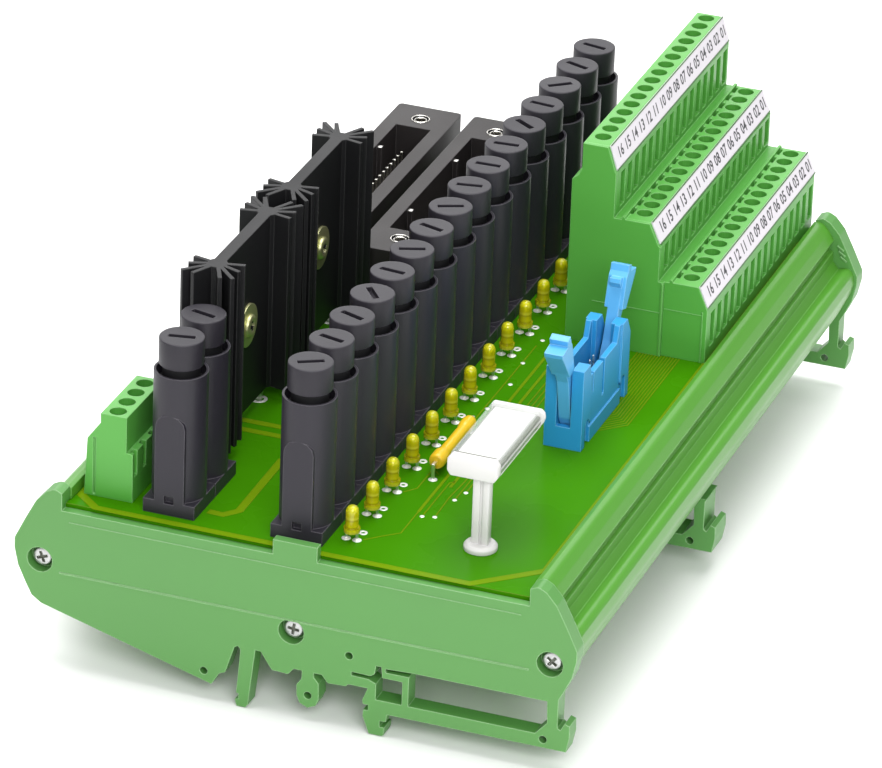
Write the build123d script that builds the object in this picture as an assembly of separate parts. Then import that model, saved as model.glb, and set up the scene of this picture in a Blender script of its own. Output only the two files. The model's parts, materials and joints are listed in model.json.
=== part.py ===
from build123d import *
import math
import os

# Passive interface module for a 35 mm mounting rail. A moulded tray profile, closed by two end plates
# with snap feet, carries a circuit board with fuse holders, heatsinks, terminals and connectors.
# Working frame, in mm: X across the module, Y along it from the outer face of the front end plate,
# Z up from the board's top face. place() moves a solid to the module's frame, whose origin is at
# floor level under the middle of the box.

# overall sizes
LENGTH = 211.5
HALF_W = 66.1
FOOT_DROP = 40.5
SEAT = 0.05

# end plates and feet
PLATE_T = 4.5
LIP_T = 2.2
LIP_DROP = 0.9
CORNER_UP = 4.1
TAB_X0, TAB_X1, TAB_UP = -4.8, 5.6, 2.7
CREASE_Z, CREASE_H, CREASE_D = -16.2, 0.4, 0.25
WINDOW_TOP, BAR_TOP, BAR_BOTTOM = -23.3, -31.7, -34.9
LEG_X0, LEG_X1 = HALF_W - 6.1, HALF_W - 3.7
FOOT_HOLE_R = 0.9
MID_FOOT_Y, MID_FOOT_T = 102.0, 8.0

# end plate screws: centre places in the plate, plain heads in round recesses
SCREW_SIDE_X, SCREW_SIDE_Z = HALF_W - 6.1, -14.1
SCREW_MID_Z = -19.2
SCREW_HEAD_R, SCREW_HEAD_H = 2.35, 1.6
SCREW_SHANK_R, SCREW_LENGTH = 1.4, 12.0
RECESS_R, RECESS_D = 3.0, 3.0
CHANNEL_R = 2.6

# tray profile
FLOOR_Z, WALL = -21.6, 1.8
FLANGE_IN_X, FLANGE_TOP = HALF_W - 11.7, 3.1
ROLL_R, SHOULDER_R = 2.0, 1.5

# circuit board
BOARD_T = 1.6
BOARD_HALF_W = HALF_W - 10.2
BOARD_GAP = 0.2

# fuse holders and their turning caps
FUSE_PITCH, FUSE_Y0 = 12.6, 11.9
FUSE_ROW_X, FUSE_PAIR_X, FUSE_PAIR_N = -1.6, -31.8, 2
HOLDER_R, HOLDER_TOP = 6.1, 33.5
FOOT_SIDE, FOOT_H = 12.2, 3.3
FUSE_ROW_N = 1 + int((LENGTH - LIP_T - FOOT_SIDE / 2 - FUSE_Y0 - 2.0) / FUSE_PITCH)
TONGUE_W, TONGUE_TOP, TONGUE_T, TONGUE_R = 7.0, 24.3, 1.0, 2.8
POCKET_W, POCKET_H, POCKET_D = 2.3, 1.9, 1.2
BORE_R, BORE_FLOOR = 5.55, 4.0
KNOB_R, KNOB_BOTTOM, KNOB_TOP = 5.05, 35.0, 41.3
NECK_R, NECK_SIDES = 4.2, 12
COLLAR_BOTTOM, COLLAR_TOP, COLLAR_SIDES = 28.4, 31.0, 6
SLOT_L, SLOT_W, SLOT_D = 6.0, 1.5, 1.3
FUSE_R, FUSE_LENGTH, FUSE_SIDES = 2.6, 20.0, 12
CONTACT_W, CONTACT_H = 5.0, 4.0
# angle of each cap's slot to X, as the last fuse change left it: the row, then the pair
ROW_ANGLES = [30, -14, -21, -53, -6, 22, -17, 25, 11, 2, 5, -35, -6, 40, -20, -12]
PAIR_ANGLES = [12, -14]

# status lamps in line with the fuses
LED_X = 9.1
LED_R, LED_FLANGE_R, LED_SIDES = 1.5, 1.85, 16
LED_BASE, LED_FLANGE_H, LED_TOP, LED_ROUND = 2.0, 1.1, 8.4, 0.9
LEAD_PITCH, LEAD_W = 2.54, 0.5

# tiered terminal block
POLE_PITCH, POLE_Y0 = 5.08, 131.9
POLE_N = int((LENGTH - 0.8 - POLE_Y0 + POLE_PITCH / 2) / POLE_PITCH)
BLOCK_X, BLOCK_Y0 = BOARD_HALF_W - 37.3, 126.5
COVER_T, COVER_W, COVER_STEP = 1.0, 23.4, 0.7
# places across the block, measured from its inner side: wells, wire slots, test slits, strips
TIER_HOLES = [(5.3, 50.4), (16.3, 33.1), (28.5, 19.0)]
TIER_SLOTS = [(10.6, 34.2, 43.0), (22.1, 20.2, 26.8), (34.1, 2.9, 11.6)]
TIER_SLITS = [(13.2, 33.1), (25.3, 19.0)]
TIER_STRIPS = [(8.4, 50.4, 10.3, 44.6), (19.3, 33.1, 21.6, 28.0), (31.7, 19.0, 33.9, 14.0)]
WELL_R, WELL_D, WELL_SIDES = 1.95, 5.5, 20
SLOT_Y, SLOT_DEEP = 3.2, 2.6
SLIT_L, SLIT_W, SLIT_D = 3.4, 0.8, 1.4
STRIP_T = 0.4
CAGE_T, CAGE_WALL, CAGE_H = 0.8, 0.45, 4.6
TAIL_W, TAIL_L, TAIL_OFF = 1.0, 1.8, -1.8

# four-pole supply terminal
SUPPLY_X, SUPPLY_Y0, SUPPLY_N = 2.9 - BOARD_HALF_W, 8.2, 4
SUPPLY_HOLE_X = SUPPLY_X + 6.9
SUPPLY_END = 0.4
SUPPLY_TOP, SUPPLY_SLOT_IN = 20.6, 2.3

# ribbon header with two ejector latches
HEADER_X0, HEADER_W = BOARD_HALF_W - 23.6, 9.0
HEADER_X1 = HEADER_X0 + HEADER_W
HEADER_Y0, HEADER_Y1 = 72.4, 105.2
TOWER_L, TOWER_TOP, WALL_TOP = 5.3, 20.0, 16.3
HEADER_WALL, HEADER_SLOT = 1.7, 3.4
HEADER_FLOOR, SIDE_RECESS, RIM_TOP = 3.2, 0.4, 3.8
KEY_SLITS = [(7.8, 0.7, 11.5), (14.7, 1.4, 7.5)]
ARCH_W, ARCH_TOP, ARCH_D = 3.4, 6.4, 0.9
PIN_PITCH, PIN_W, PIN_TOP = 2.54, 0.64, 11.6
HEADER_PIN_ROWS = 7
PIVOT_IN, PIVOT_Z, PIVOT_R = 4.0, 4.6, 0.9
LATCH_LEAN = 18.0
LATCH_STEM_W, LATCH_HEAD_W, LATCH_HOOK_W = 2.8, 4.4, 2.6
LATCH_HEAD_FROM = TOWER_TOP - PIVOT_Z + 1.2

# two system connectors
CONN_LEFT_X0, CONN_W = 2.9 - BOARD_HALF_W, 16.3
CONN_RIGHT_X0 = CONN_LEFT_X0 + 19.6
CONN_Y0, CONN_H = 125.3, 14.5
CONN_L = LENGTH - CONN_Y0 - 4.7
CAVITY_W, CAVITY_L, CAVITY_FLOOR = 9.0, CONN_L - 24.7, 3.0
INSERT_SPACING = CONN_L - 14.7
INSERT_R, INSERT_BORE_R, INSERT_L = 2.3, 1.3, 7.0
PLUG_PITCH, PLUG_PIN_W, PLUG_PIN_TOP = 2.54, 0.64, 9.5
PLUG_PIN_N = int((CAVITY_L - 5.0) / PLUG_PITCH)
KEY_W, KEY_L, KEY_STEP = 1.2, 1.2, 31.4

# heatsinks, their screws and power semiconductors
SINK_X = CONN_RIGHT_X0 - 1.45
SINK_Y = [55.05, 100.15]
SINK_Z0, SINK_Z1 = 3.0, 46.3
WEB_T, HUB_OFF, HUB_R, FIN_T = 2.9, 15.0, 2.3, 0.95
FIN_TIPS = [(6.1, -1.4), (6.1, 2.3), (6.1, 6.3), (3.3, 6.9)]
SINK_PIN_OFF, SINK_PIN_W = 12.7, 1.4
WASHER_R, WASHER_T = 5.1, 0.6
SINK_SCREW_R, SINK_HEAD_R, SINK_HEAD_H = 1.2, 1.9, 0.9
CASE_W, CASE_H, CASE_T, TAB_H, TAB_T = 10.2, 9.0, 3.2, 6.4, 1.3

# axial film resistor
RES_X, RES_Z, RES_Y0, RES_Y1 = 15.5, 3.6, 47.6, 70.4
RES_END_R, RES_MID_R, RES_END_L = 1.9, 1.5, 5.0
RES_LEAD_W = 0.7

# label holder
POST_X, POST_Y, POST_W, POST_D = BOARD_HALF_W - 19.4, 19.3, 3.9, 2.4
LABEL_X0, LABEL_X1 = POST_X - 7.2, POST_X + 4.5
LABEL_Y0, LABEL_Y1 = 15.4, 46.6
LABEL_Z0, LABEL_Z1 = 18.5, 23.4
LABEL_CAP_T, LABEL_COVER_T, CARD_T = 2.4, 0.8, 0.4
CARD_Z = LABEL_Z1 - 1.7
LABEL_FOOT_R, LABEL_FOOT_H, LABEL_FOOT_EDGE = 3.8, 1.6, 0.6


# shared shapes
def block(x0, x1, y0, y1, z0, z1):
    return Pos((x0 + x1) / 2, (y0 + y1) / 2, (z0 + z1) / 2) * Box(x1 - x0, y1 - y0, z1 - z0)


def post(x, y, z0, z1, r):
    return Pos(x, y, (z0 + z1) / 2) * Cylinder(r, z1 - z0)


def rod_y(x, z, y0, y1, r):
    return Pos(x, (y0 + y1) / 2, z) * Rot(90, 0, 0) * Cylinder(r, y1 - y0)


def rod_x(y, z, x0, x1, r):
    return Pos((x0 + x1) / 2, y, z) * Rot(0, 90, 0) * Cylinder(r, x1 - x0)


def prism(x, y, z0, z1, r, sides):
    return Pos(x, y, z0) * extrude(RegularPolygon(r, sides), amount=z1 - z0)


def in_from_side(points):
    return [(HALF_W - x, z) for x, z in points]


def face_of(points):
    return make_face(Polyline(*points, close=True))


def slab_y(points, y0, y1):
    return extrude(Plane.XZ.offset(-y0) * face_of(points), amount=-(y1 - y0))


def rounded_slab_y(points, corners, r, y0, y1):
    # like slab_y, with the named corners of the outline rounded on both sides of the module
    face = face_of(points)
    keys = [(round(x, 3), round(z, 3)) for x, z in corners]
    picked = [v for v in face.vertices() if (round(abs(v.X), 3), round(v.Y, 3)) in keys]
    return extrude(Plane.XZ.offset(-y0) * fillet(picked, r), amount=-(y1 - y0))


def slab_x(points, x0, x1):
    return extrude(Plane.YZ.offset(x0) * face_of(points), amount=x1 - x0)


def slab_z(points, z0, z1):
    return extrude(Plane.XY.offset(z0) * face_of(points), amount=z1 - z0)


def flip_y(solid):
    return Pos(0, LENGTH, 0) * mirror(solid, Plane.XZ)


def place(solid):
    return Pos(0, -LENGTH / 2, FOOT_DROP) * solid


def save(name, solids):
    solids = solids if isinstance(solids, list) else [solids]
    moved = [place(s).solid() if len(s.solids()) == 1 else place(s) for s in solids]
    export_step(moved[0] if len(moved) == 1 else Compound(moved), f"parts/{name}.step")


# tray profile
def flange_outer():
    lip = [(FLANGE_IN_X, 0.1), (FLANGE_IN_X, FLANGE_TOP - 0.3)]
    return lip + in_from_side([
        (10.7, FLANGE_TOP), (9.3, FLANGE_TOP - 0.3), (7.7, 1.1), (6.4, -1.1), (7.2, -1.5), (7.4, -3.8),
        (6.4, -4.1), (6.3, -6.6), (4.8, -8.4), (3.8, -8.1), (2.1, -7.6), (1.0, -9.2), (0.6, -11.4),
        (1.2, -14.0), (3.7, -19.6), (5.7, FLOOR_Z),
    ])


def flange_inner():
    floor = FLOOR_Z + WALL
    side = in_from_side([
        (8.5, floor), (5.7, floor + 0.8), (3.1, -13.8), (2.5, -11.4), (3.2, -9.9), (7.5, -9.6), (9.0, -8.0),
        (9.0, -BOARD_T - WALL),
    ])
    return side + [
        (FLANGE_IN_X, -BOARD_T - WALL), (FLANGE_IN_X, -BOARD_T - SEAT),
        (BOARD_HALF_W + BOARD_GAP, -BOARD_T - SEAT), (BOARD_HALF_W + BOARD_GAP, 0.1),
    ]


def roll_corners():
    # corners of the flange that the real tray rolls over: the top lip and the lower roll
    return in_from_side([(9.3, FLANGE_TOP - 0.3), (7.7, 1.1), (2.1, -7.6), (0.6, -11.4), (1.2, -14.0)])


def screw_places():
    return [(-SCREW_SIDE_X, SCREW_SIDE_Z), (SCREW_SIDE_X, SCREW_SIDE_Z), (0, SCREW_MID_Z)]


def base_profile():
    outer = flange_outer()
    inner = flange_inner()
    left = [(-x, z) for x, z in reversed(outer)]
    left_inner = [(-x, z) for x, z in reversed(inner)]
    ring = outer + left + left_inner + inner
    tray = rounded_slab_y(ring, roll_corners(), ROLL_R, PLATE_T, LENGTH - PLATE_T)
    for x, z in screw_places():
        tray += rod_y(x, z, PLATE_T, LENGTH - PLATE_T, CHANNEL_R)
    for x, z in screw_places():
        tray -= rod_y(x, z, 0, LENGTH, SCREW_SHANK_R + SEAT)
    below = block(-HALF_W, HALF_W, 0, LENGTH, FLOOR_Z - 9, FLOOR_Z)
    return tray - below


# end plates with snap feet
def shoulder():
    return in_from_side([
        (11.3, -LIP_DROP), (11.3, CORNER_UP - 0.8), (9.5, CORNER_UP), (7.5, 3.1), (5.1, 0.4),
        (2.5, -4.6), (0, -9.8), (0, -12.2), (0.9, -16.4), (2.8, -20.6),
    ])


def shoulder_corners():
    return in_from_side([(9.5, CORNER_UP), (5.1, 0.4), (0, -9.8), (0, -12.2), (0.9, -16.4)])


def plate_top():
    left = [(-x, z) for x, z in reversed(shoulder())]
    tab = [(TAB_X0, -LIP_DROP), (TAB_X0, TAB_UP), (TAB_X1, TAB_UP), (TAB_X1, -LIP_DROP)]
    return left + tab + shoulder()


def outer_foot():
    arm = in_from_side([(3.0, -29.8), (2.1, -28.0), (0.9, -28.4), (0.8, -31.2), (1.5, BAR_BOTTOM)])
    return [(LEG_X1, -22.3), (LEG_X1, -29.3)] + arm + [(23.0, BAR_BOTTOM)]


def rail_hook():
    return [
        (22.7, -36.8), (21.3, -36.8), (21.3, -38.3), (22.5, -38.3), (22.3, -40.2), (21.9, -FOOT_DROP),
        (18.9, -FOOT_DROP), (17.3, -36.4), (17.4, -34.8), (18.5, -34.8), (18.5, -33.4), (17.3, -33.4),
        (17.1, -32.4), (18.3, -29.3),
    ]


def rail_tongue():
    return [
        (13.7, -29.3), (13.2, -29.9), (8.9, -30.1), (7.5, -28.3), (5.6, -28.3), (5.6, -29.4), (6.8, -30.8),
        (6.9, -34.6), (6.2, -36.4), (4.3, -37.3), (2.4, -36.4), (1.7, -34.6), (1.6, -32.0), (2.7, -30.4),
        (2.8, -28.3), (0.9, -28.3), (-0.5, -29.9), (-4.3, -29.7),
    ]


def left_leg():
    return [
        (-7.0, -25.7), (-8.3, -25.6), (-9.8, -39.8), (-10.4, -FOOT_DROP), (-12.4, -FOOT_DROP),
        (-12.9, -38.9), (-12.0, -38.6), (-12.0, -37.4), (-12.6, -37.1), (-11.8, -26.2), (-12.4, -25.5),
        (-13.2, -25.9), (-15.3, -32.7), (-16.8, -33.4), (-18.5, -36.4), (6.5 - HALF_W, -24.9),
        (4.2 - HALF_W, -23.3),
    ]


def plate_outline():
    return plate_top() + outer_foot() + rail_hook() + rail_tongue() + left_leg()


def large_window():
    return [
        (22.3, -24.5), (22.3, WINDOW_TOP - 0.3), (28.7, WINDOW_TOP), (LEG_X0 - 0.2, WINDOW_TOP),
        (LEG_X0, -28.6), (LEG_X0 - 2.7, BAR_TOP), (27.8, BAR_TOP), (27.8, -24.5),
    ]


def small_window():
    return [
        (14.4, -26.0), (14.4, -26.9), (18.3, -27.0), (20.2, -27.8), (20.2, BAR_TOP), (26.3, BAR_TOP),
        (26.3, -26.0), (21.6, -26.0), (21.3, -23.3), (20.1, -23.3), (19.8, -25.4), (18.9, -26.1),
    ]


def foot_holes():
    return [(13.7, -22.2), (-20.4, -33.4), (4.3, -34.2), (LEG_X0 - 0.8, -32.9)]


def plate_blank(y0, y1):
    plate = rounded_slab_y(plate_outline(), shoulder_corners(), SHOULDER_R, y0, y1)
    plate -= slab_y(large_window(), y0 - 1, y1 + 1)
    plate -= slab_y(small_window(), y0 - 1, y1 + 1)
    for x, z in foot_holes():
        plate -= rod_y(x, z, y0 - 1, y1 + 1, FOOT_HOLE_R)
    return plate


def end_plate_front():
    plate = plate_blank(0, PLATE_T)
    plate -= block(-FLANGE_IN_X, FLANGE_IN_X, LIP_T, PLATE_T + 1, -BOARD_T - SEAT, TAB_UP + 1)
    edge = BOARD_HALF_W + BOARD_GAP
    plate -= block(-edge, edge, LIP_T, PLATE_T + 1, -BOARD_T - SEAT, SEAT)
    crease = BOARD_HALF_W - 0.7
    plate -= block(-crease, crease, -1, CREASE_D, CREASE_Z - CREASE_H, CREASE_Z)
    for x, z in screw_places():
        plate -= rod_y(x, z, -1, RECESS_D, RECESS_R)
        plate -= rod_y(x, z, -1, PLATE_T + 1, SCREW_SHANK_R + SEAT)
    return plate


def foot_middle():
    foot = plate_blank(MID_FOOT_Y, MID_FOOT_Y + MID_FOOT_T)
    return foot & block(-HALF_W, HALF_W, 0, LENGTH, -FOOT_DROP, FLOOR_Z)


def plate_screw(x, z):
    # a plain head and shank: scene.py gives the cross recess and the rounding
    screw = rod_y(x, z, RECESS_D - SCREW_HEAD_H, RECESS_D, SCREW_HEAD_R)
    return screw + rod_y(x, z, RECESS_D, SCREW_LENGTH, SCREW_SHANK_R)


def end_plate_screws():
    front = [plate_screw(x, z) for x, z in screw_places()]
    return front + [flip_y(s) for s in front]


# circuit board
def circuit_board():
    front = LIP_T + BOARD_GAP
    return block(-BOARD_HALF_W, BOARD_HALF_W, front, LENGTH - front, -BOARD_T, 0)


# fuse holders
def holder_places():
    row = [(FUSE_ROW_X, FUSE_Y0 + i * FUSE_PITCH) for i in range(FUSE_ROW_N)]
    pair = [(FUSE_PAIR_X, FUSE_Y0 + i * FUSE_PITCH) for i in range(FUSE_PAIR_N)]
    return row + pair


def tongue_outline():
    # upright tongue on the front face, its two top corners rounded in three steps
    inner = TONGUE_W / 2 - TONGUE_R
    arc = [math.radians(a) for a in (0, 30, 60, 90)]
    right = [(inner + TONGUE_R * math.cos(a), TONGUE_TOP - TONGUE_R + TONGUE_R * math.sin(a)) for a in arc]
    left = [(-x, z) for x, z in reversed(right)]
    return [(TONGUE_W / 2, 0)] + right + left + [(-TONGUE_W / 2, 0)]


def holder():
    half = FOOT_SIDE / 2
    body = block(-half, half, -half, half, 0, FOOT_H)
    body += post(0, 0, 0, HOLDER_TOP, HOLDER_R)
    body += slab_y(tongue_outline(), -half, TONGUE_T - half)
    body -= post(0, 0, BORE_FLOOR, HOLDER_TOP + 1, BORE_R)
    body -= block(-POCKET_W / 2, POCKET_W / 2, -half - 1, -half + POCKET_D, 2.8, 2.8 + POCKET_H)
    return body


def fuse_cap(angle):
    knob = post(0, 0, KNOB_BOTTOM, KNOB_TOP, KNOB_R)
    knob -= Pos(0, 0, KNOB_TOP) * Box(SLOT_L, SLOT_W, 2 * SLOT_D)
    knob += prism(0, 0, COLLAR_TOP, KNOB_BOTTOM, NECK_R, NECK_SIDES)
    knob += prism(0, 0, COLLAR_BOTTOM, COLLAR_TOP, BORE_R - SEAT, COLLAR_SIDES)
    return Rot(0, 0, angle) * knob


def fuse_cartridge():
    z0 = BORE_FLOOR + CONTACT_H
    return prism(0, 0, z0, z0 + FUSE_LENGTH, FUSE_R, FUSE_SIDES)


def fuse_contact():
    half = CONTACT_W / 2
    return block(-half, half, -half, half, BORE_FLOOR, BORE_FLOOR + CONTACT_H)


def cap_angles():
    row = [ROW_ANGLES[i % len(ROW_ANGLES)] for i in range(FUSE_ROW_N)]
    return row + PAIR_ANGLES


def save_fuses():
    places = holder_places()
    body, cartridge, contact = holder(), fuse_cartridge(), fuse_contact()
    save("fuse_holder_bodies", [Pos(x, y, 0) * body for x, y in places])
    save("fuse_cartridges", [Pos(x, y, 0) * cartridge for x, y in places])
    save("fuse_contacts", [Pos(x, y, 0) * contact for x, y in places])
    for i, ((x, y), angle) in enumerate(zip(places, cap_angles())):
        save(f"fuse_cap_{i + 1:02d}", Pos(x, y, 0) * fuse_cap(angle))


# status lamps
def lamp():
    neck = LED_BASE + LED_FLANGE_H
    body = prism(0, 0, LED_BASE, neck, LED_FLANGE_R, LED_SIDES) + prism(0, 0, neck, LED_TOP, LED_R, LED_SIDES)
    return chamfer(body.edges().group_by(Axis.Z)[-1], LED_ROUND)


def lamp_places():
    return [(LED_X, FUSE_Y0 + i * FUSE_PITCH) for i in range(FUSE_ROW_N)]


def lamp_leads(x, y):
    half = LEAD_W / 2
    ends = [x - LEAD_PITCH / 2, x + LEAD_PITCH / 2]
    return [block(e - half, e + half, y - half, y + half, 0, LED_BASE) for e in ends]


# tiered terminal block
def pole_ys():
    return [POLE_Y0 + i * POLE_PITCH for i in range(POLE_N)]


def block_end():
    return POLE_Y0 + (POLE_N - 0.5) * POLE_PITCH


def tier_profile():
    points = [
        (0, 0), (0, 41.0), (1.6, 42.3), (2.3, 43.9), (2.3, 50.4), (8.4, 50.4), (10.3, 44.6),
        (10.6, 44.0), (10.6, 33.0), (12.5, 33.0), (12.6, 33.7), (13.2, 33.7), (13.4, 33.1), (19.3, 33.1),
        (21.6, 28.0), (22.1, 27.6), (22.1, 18.9), (24.6, 18.9), (24.7, 19.6), (25.3, 19.6), (25.5, 19.0),
        (31.7, 19.0), (33.9, 14.0), (34.1, 13.4), (34.1, 0),
    ]
    return [(BLOCK_X + x, z) for x, z in points]


def cover_zone(y0, y1):
    top = TIER_HOLES[0][1] + 1
    return block(BLOCK_X - 1, BLOCK_X + COVER_W, y0, y1, -1, top)


def terminal_block_housing():
    body = slab_y(tier_profile(), BLOCK_Y0 + COVER_STEP, block_end())
    body -= cover_zone(BLOCK_Y0 - 1, BLOCK_Y0 + COVER_T)
    for y in pole_ys():
        for x, z in TIER_HOLES:
            body -= prism(BLOCK_X + x, y, z - WELL_D, z + 1, WELL_R, WELL_SIDES)
        for x, z0, z1 in TIER_SLOTS:
            face = BLOCK_X + x
            body -= block(face - SLOT_DEEP, face + 1, y - SLOT_Y / 2, y + SLOT_Y / 2, z0, z1)
        for x, z in TIER_SLITS:
            edge = BLOCK_X + x
            body -= block(edge, edge + SLIT_W, y - SLIT_L / 2, y + SLIT_L / 2, z - SLIT_D, z + 1)
    return body


def terminal_end_cover():
    cover = slab_y(tier_profile(), BLOCK_Y0, BLOCK_Y0 + COVER_T)
    return cover & cover_zone(BLOCK_Y0, BLOCK_Y0 + COVER_T)


def cage(back, y, z0, z1):
    half = SLOT_Y / 2 - 0.1
    gap = CAGE_WALL
    frame = block(back, back + CAGE_T, y - half, y + half, z0, z1)
    return frame - block(back - 1, back + 1 + CAGE_T, y - half + gap, y + half - gap, z0 + gap, z1 - gap)


def tier_cages():
    cages = []
    for x, z0, z1 in TIER_SLOTS:
        back = BLOCK_X + x - SLOT_DEEP
        cages += [cage(back, y, z0 + 0.2, min(z1, z0 + CAGE_H)) for y in pole_ys()]
    return cages


def marker_strip(top_x, top_z, low_x, low_z):
    nx, nz = top_z - low_z, low_x - top_x
    size = math.hypot(nx, nz)
    nx, nz = nx / size * STRIP_T, nz / size * STRIP_T
    points = [(top_x, top_z), (top_x + nx, top_z + nz), (low_x + nx, low_z + nz), (low_x, low_z)]
    strip = slab_y(points, BLOCK_Y0 + COVER_T, block_end())
    return Pos(BLOCK_X, 0, 0) * strip


def marker_strips():
    return [marker_strip(*ends) for ends in TIER_STRIPS]


def tail(x, y):
    half = TAIL_W / 2
    return block(x - half, x + half, y - half, y + half, -BOARD_T - TAIL_L, -BOARD_T)


def save_terminals():
    save("terminal_block_housing", terminal_block_housing())
    save("terminal_end_cover", terminal_end_cover())
    save("terminal_clamp_cages", tier_cages())
    save("marker_strips", marker_strips())
    tails = [tail(BLOCK_X + x, y + TAIL_OFF) for x, _ in TIER_HOLES for y in pole_ys()]
    save("terminal_solder_tails", tails)


# supply terminal
def supply_profile():
    points = [
        (0, 0), (0.7, 14.0), (3.8, 18.3), (3.8, SUPPLY_TOP), (10.0, SUPPLY_TOP), (10.0, 12.0),
        (11.5, 11.8), (11.6, 0),
    ]
    return [(SUPPLY_X + x, z) for x, z in points]


def supply_ys():
    return [SUPPLY_Y0 + POLE_PITCH / 2 + i * POLE_PITCH for i in range(SUPPLY_N)]


def supply_terminal_housing():
    end = SUPPLY_Y0 + SUPPLY_N * POLE_PITCH + SUPPLY_END
    body = slab_y(supply_profile(), SUPPLY_Y0, end)
    body -= block(SUPPLY_X + 2.1, SUPPLY_X + 2.7, SUPPLY_Y0 - 1, SUPPLY_Y0 + 0.5, 0.4, 14.4)
    slot_x = SUPPLY_X + SUPPLY_SLOT_IN
    for y in supply_ys():
        body -= prism(SUPPLY_HOLE_X, y, SUPPLY_TOP - WELL_D, SUPPLY_TOP + 1, WELL_R, WELL_SIDES)
        body -= block(SUPPLY_X - 1, slot_x, y - SLOT_Y / 2, y + SLOT_Y / 2, 3.0, 10.6)
        body -= block(SUPPLY_X + 10.4, SUPPLY_X + 12, y - 1.6, y + 0.2, 6.0, 12.5)
    return body


def supply_cage(y):
    return cage(SUPPLY_X + SUPPLY_SLOT_IN - CAGE_T, y, 3.2, 8.0)


def save_supply_terminal():
    ys = supply_ys()
    save("supply_terminal_housing", supply_terminal_housing())
    save("supply_terminal_cages", [supply_cage(y) for y in ys])
    save("supply_terminal_tails", [tail(SUPPLY_HOLE_X, y) for y in ys])


# ribbon header
def header_mid():
    return (HEADER_X0 + HEADER_X1) / 2


def header_side():
    y0, y1 = HEADER_Y0, HEADER_Y1
    front, rear = y0 + TOWER_L, y1 - TOWER_L
    return [
        (y0, 0), (y0, TOWER_TOP), (front - 0.8, TOWER_TOP), (front, WALL_TOP), (rear - 3.0, WALL_TOP),
        (rear - 1.6, TOWER_TOP), (y1 - 2.4, TOWER_TOP), (y1, TOWER_TOP - 4.0), (y1, 0),
    ]


def ribbon_header_body():
    mid = header_mid()
    body = slab_x(header_side(), HEADER_X0, HEADER_X1)
    inner0, inner1 = HEADER_Y0 + TOWER_L + 0.9, HEADER_Y1 - TOWER_L - 0.9
    body -= block(HEADER_X0 + HEADER_WALL, HEADER_X1 - HEADER_WALL, inner0, inner1, HEADER_FLOOR, 40)
    half = HEADER_SLOT / 2
    slot_floor = PIVOT_Z - PIVOT_R - 1.4
    body -= block(mid - half, mid + half, HEADER_Y0 - 1, inner0 + 1, PIVOT_Z + 0.8, 40)
    body -= block(mid - half, mid + half, inner1 - 1, HEADER_Y1 + 1, PIVOT_Z + 0.8, 40)
    body -= block(mid - half, mid + half, HEADER_Y0 + 1.6, inner0 + 1, slot_floor, 40)
    body -= block(mid - half, mid + half, inner1 - 1, HEADER_Y1 - 1.6, slot_floor, 40)
    for y in pivot_ys():
        body -= rod_x(y, PIVOT_Z, mid - half - 1.2, mid + half + 1.2, PIVOT_R + SEAT)
        body -= arch(y, HEADER_X0 - 1, HEADER_X0 + ARCH_D)
        body -= arch(y, HEADER_X1 - ARCH_D, HEADER_X1 + 1)
    long0, long1 = pivot_ys()[0] + ARCH_W / 2, pivot_ys()[1] - ARCH_W / 2
    body -= block(HEADER_X1 - SIDE_RECESS, HEADER_X1 + 1, long0, long1, RIM_TOP, TOWER_TOP)
    body -= block(HEADER_X0 - 1, HEADER_X0 + SIDE_RECESS, long0, long1, RIM_TOP, TOWER_TOP)
    for off, width, floor in KEY_SLITS:
        body -= block(HEADER_X1 - HEADER_WALL - 1, HEADER_X1 + 1, HEADER_Y0 + off, HEADER_Y0 + off + width,
                      floor, TOWER_TOP)
    return body


def pivot_ys():
    return [HEADER_Y0 + PIVOT_IN, HEADER_Y1 - PIVOT_IN]


def arch(y, x0, x1):
    half = ARCH_W / 2
    spring = ARCH_TOP - half
    return block(x0, x1, y - half, y + half, -1, spring) + rod_x(y, spring, x0, x1, half)


def header_pins():
    half = PIN_W / 2
    mid_y = (HEADER_Y0 + HEADER_Y1) / 2
    pins = []
    for i in range(HEADER_PIN_ROWS):
        y = mid_y + (i - (HEADER_PIN_ROWS - 1) / 2) * PIN_PITCH
        for x in (header_mid() - PIN_PITCH / 2, header_mid() + PIN_PITCH / 2):
            pins.append(block(x - half, x + half, y - half, y + half, HEADER_FLOOR, PIN_TOP))
    return pins


def latch_profile():
    # upright at the pivot, outer side towards -Y: thumb pad outside, hook inside near the head
    outer = [(-1.2, -0.5), (-2.1, 3.5), (-1.4, 14.0), (-2.3, 17.3), (-5.4, 24.9), (-5.4, 26.0), (-1.6, 25.4)]
    tab = [(-1.6, 26.9), (0.3, 26.9), (0.3, 25.2)]
    inner = [(0.9, 24.0), (2.7, 23.7), (2.7, 22.6), (0.9, 21.4), (1.0, 16.0), (1.3, 9.0), (2.2, 5.0),
             (2.2, 2.5), (1.2, -0.5)]
    return outer + tab + inner


def side_cuts(half, low, high, inner_y):
    # what is cut away on both sides of a part that is narrower than the head
    return [block(min(s * half, s * 5), max(s * half, s * 5), inner_y, 9, low, high) for s in (-1, 1)]


def latch():
    body = slab_x(latch_profile(), -LATCH_HEAD_W / 2, LATCH_HEAD_W / 2)
    for cut in side_cuts(LATCH_STEM_W / 2, -5, LATCH_HEAD_FROM, -9) + side_cuts(LATCH_HOOK_W / 2, 0, 60, 0.9):
        body -= cut
    return body + rod_x(0, 0, -HEADER_SLOT / 2 - 1.0, HEADER_SLOT / 2 + 1.0, PIVOT_R)


def header_latch_front():
    leaning = Rot(LATCH_LEAN, 0, 0) * latch()
    return Pos(header_mid(), pivot_ys()[0], PIVOT_Z) * leaning


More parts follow.
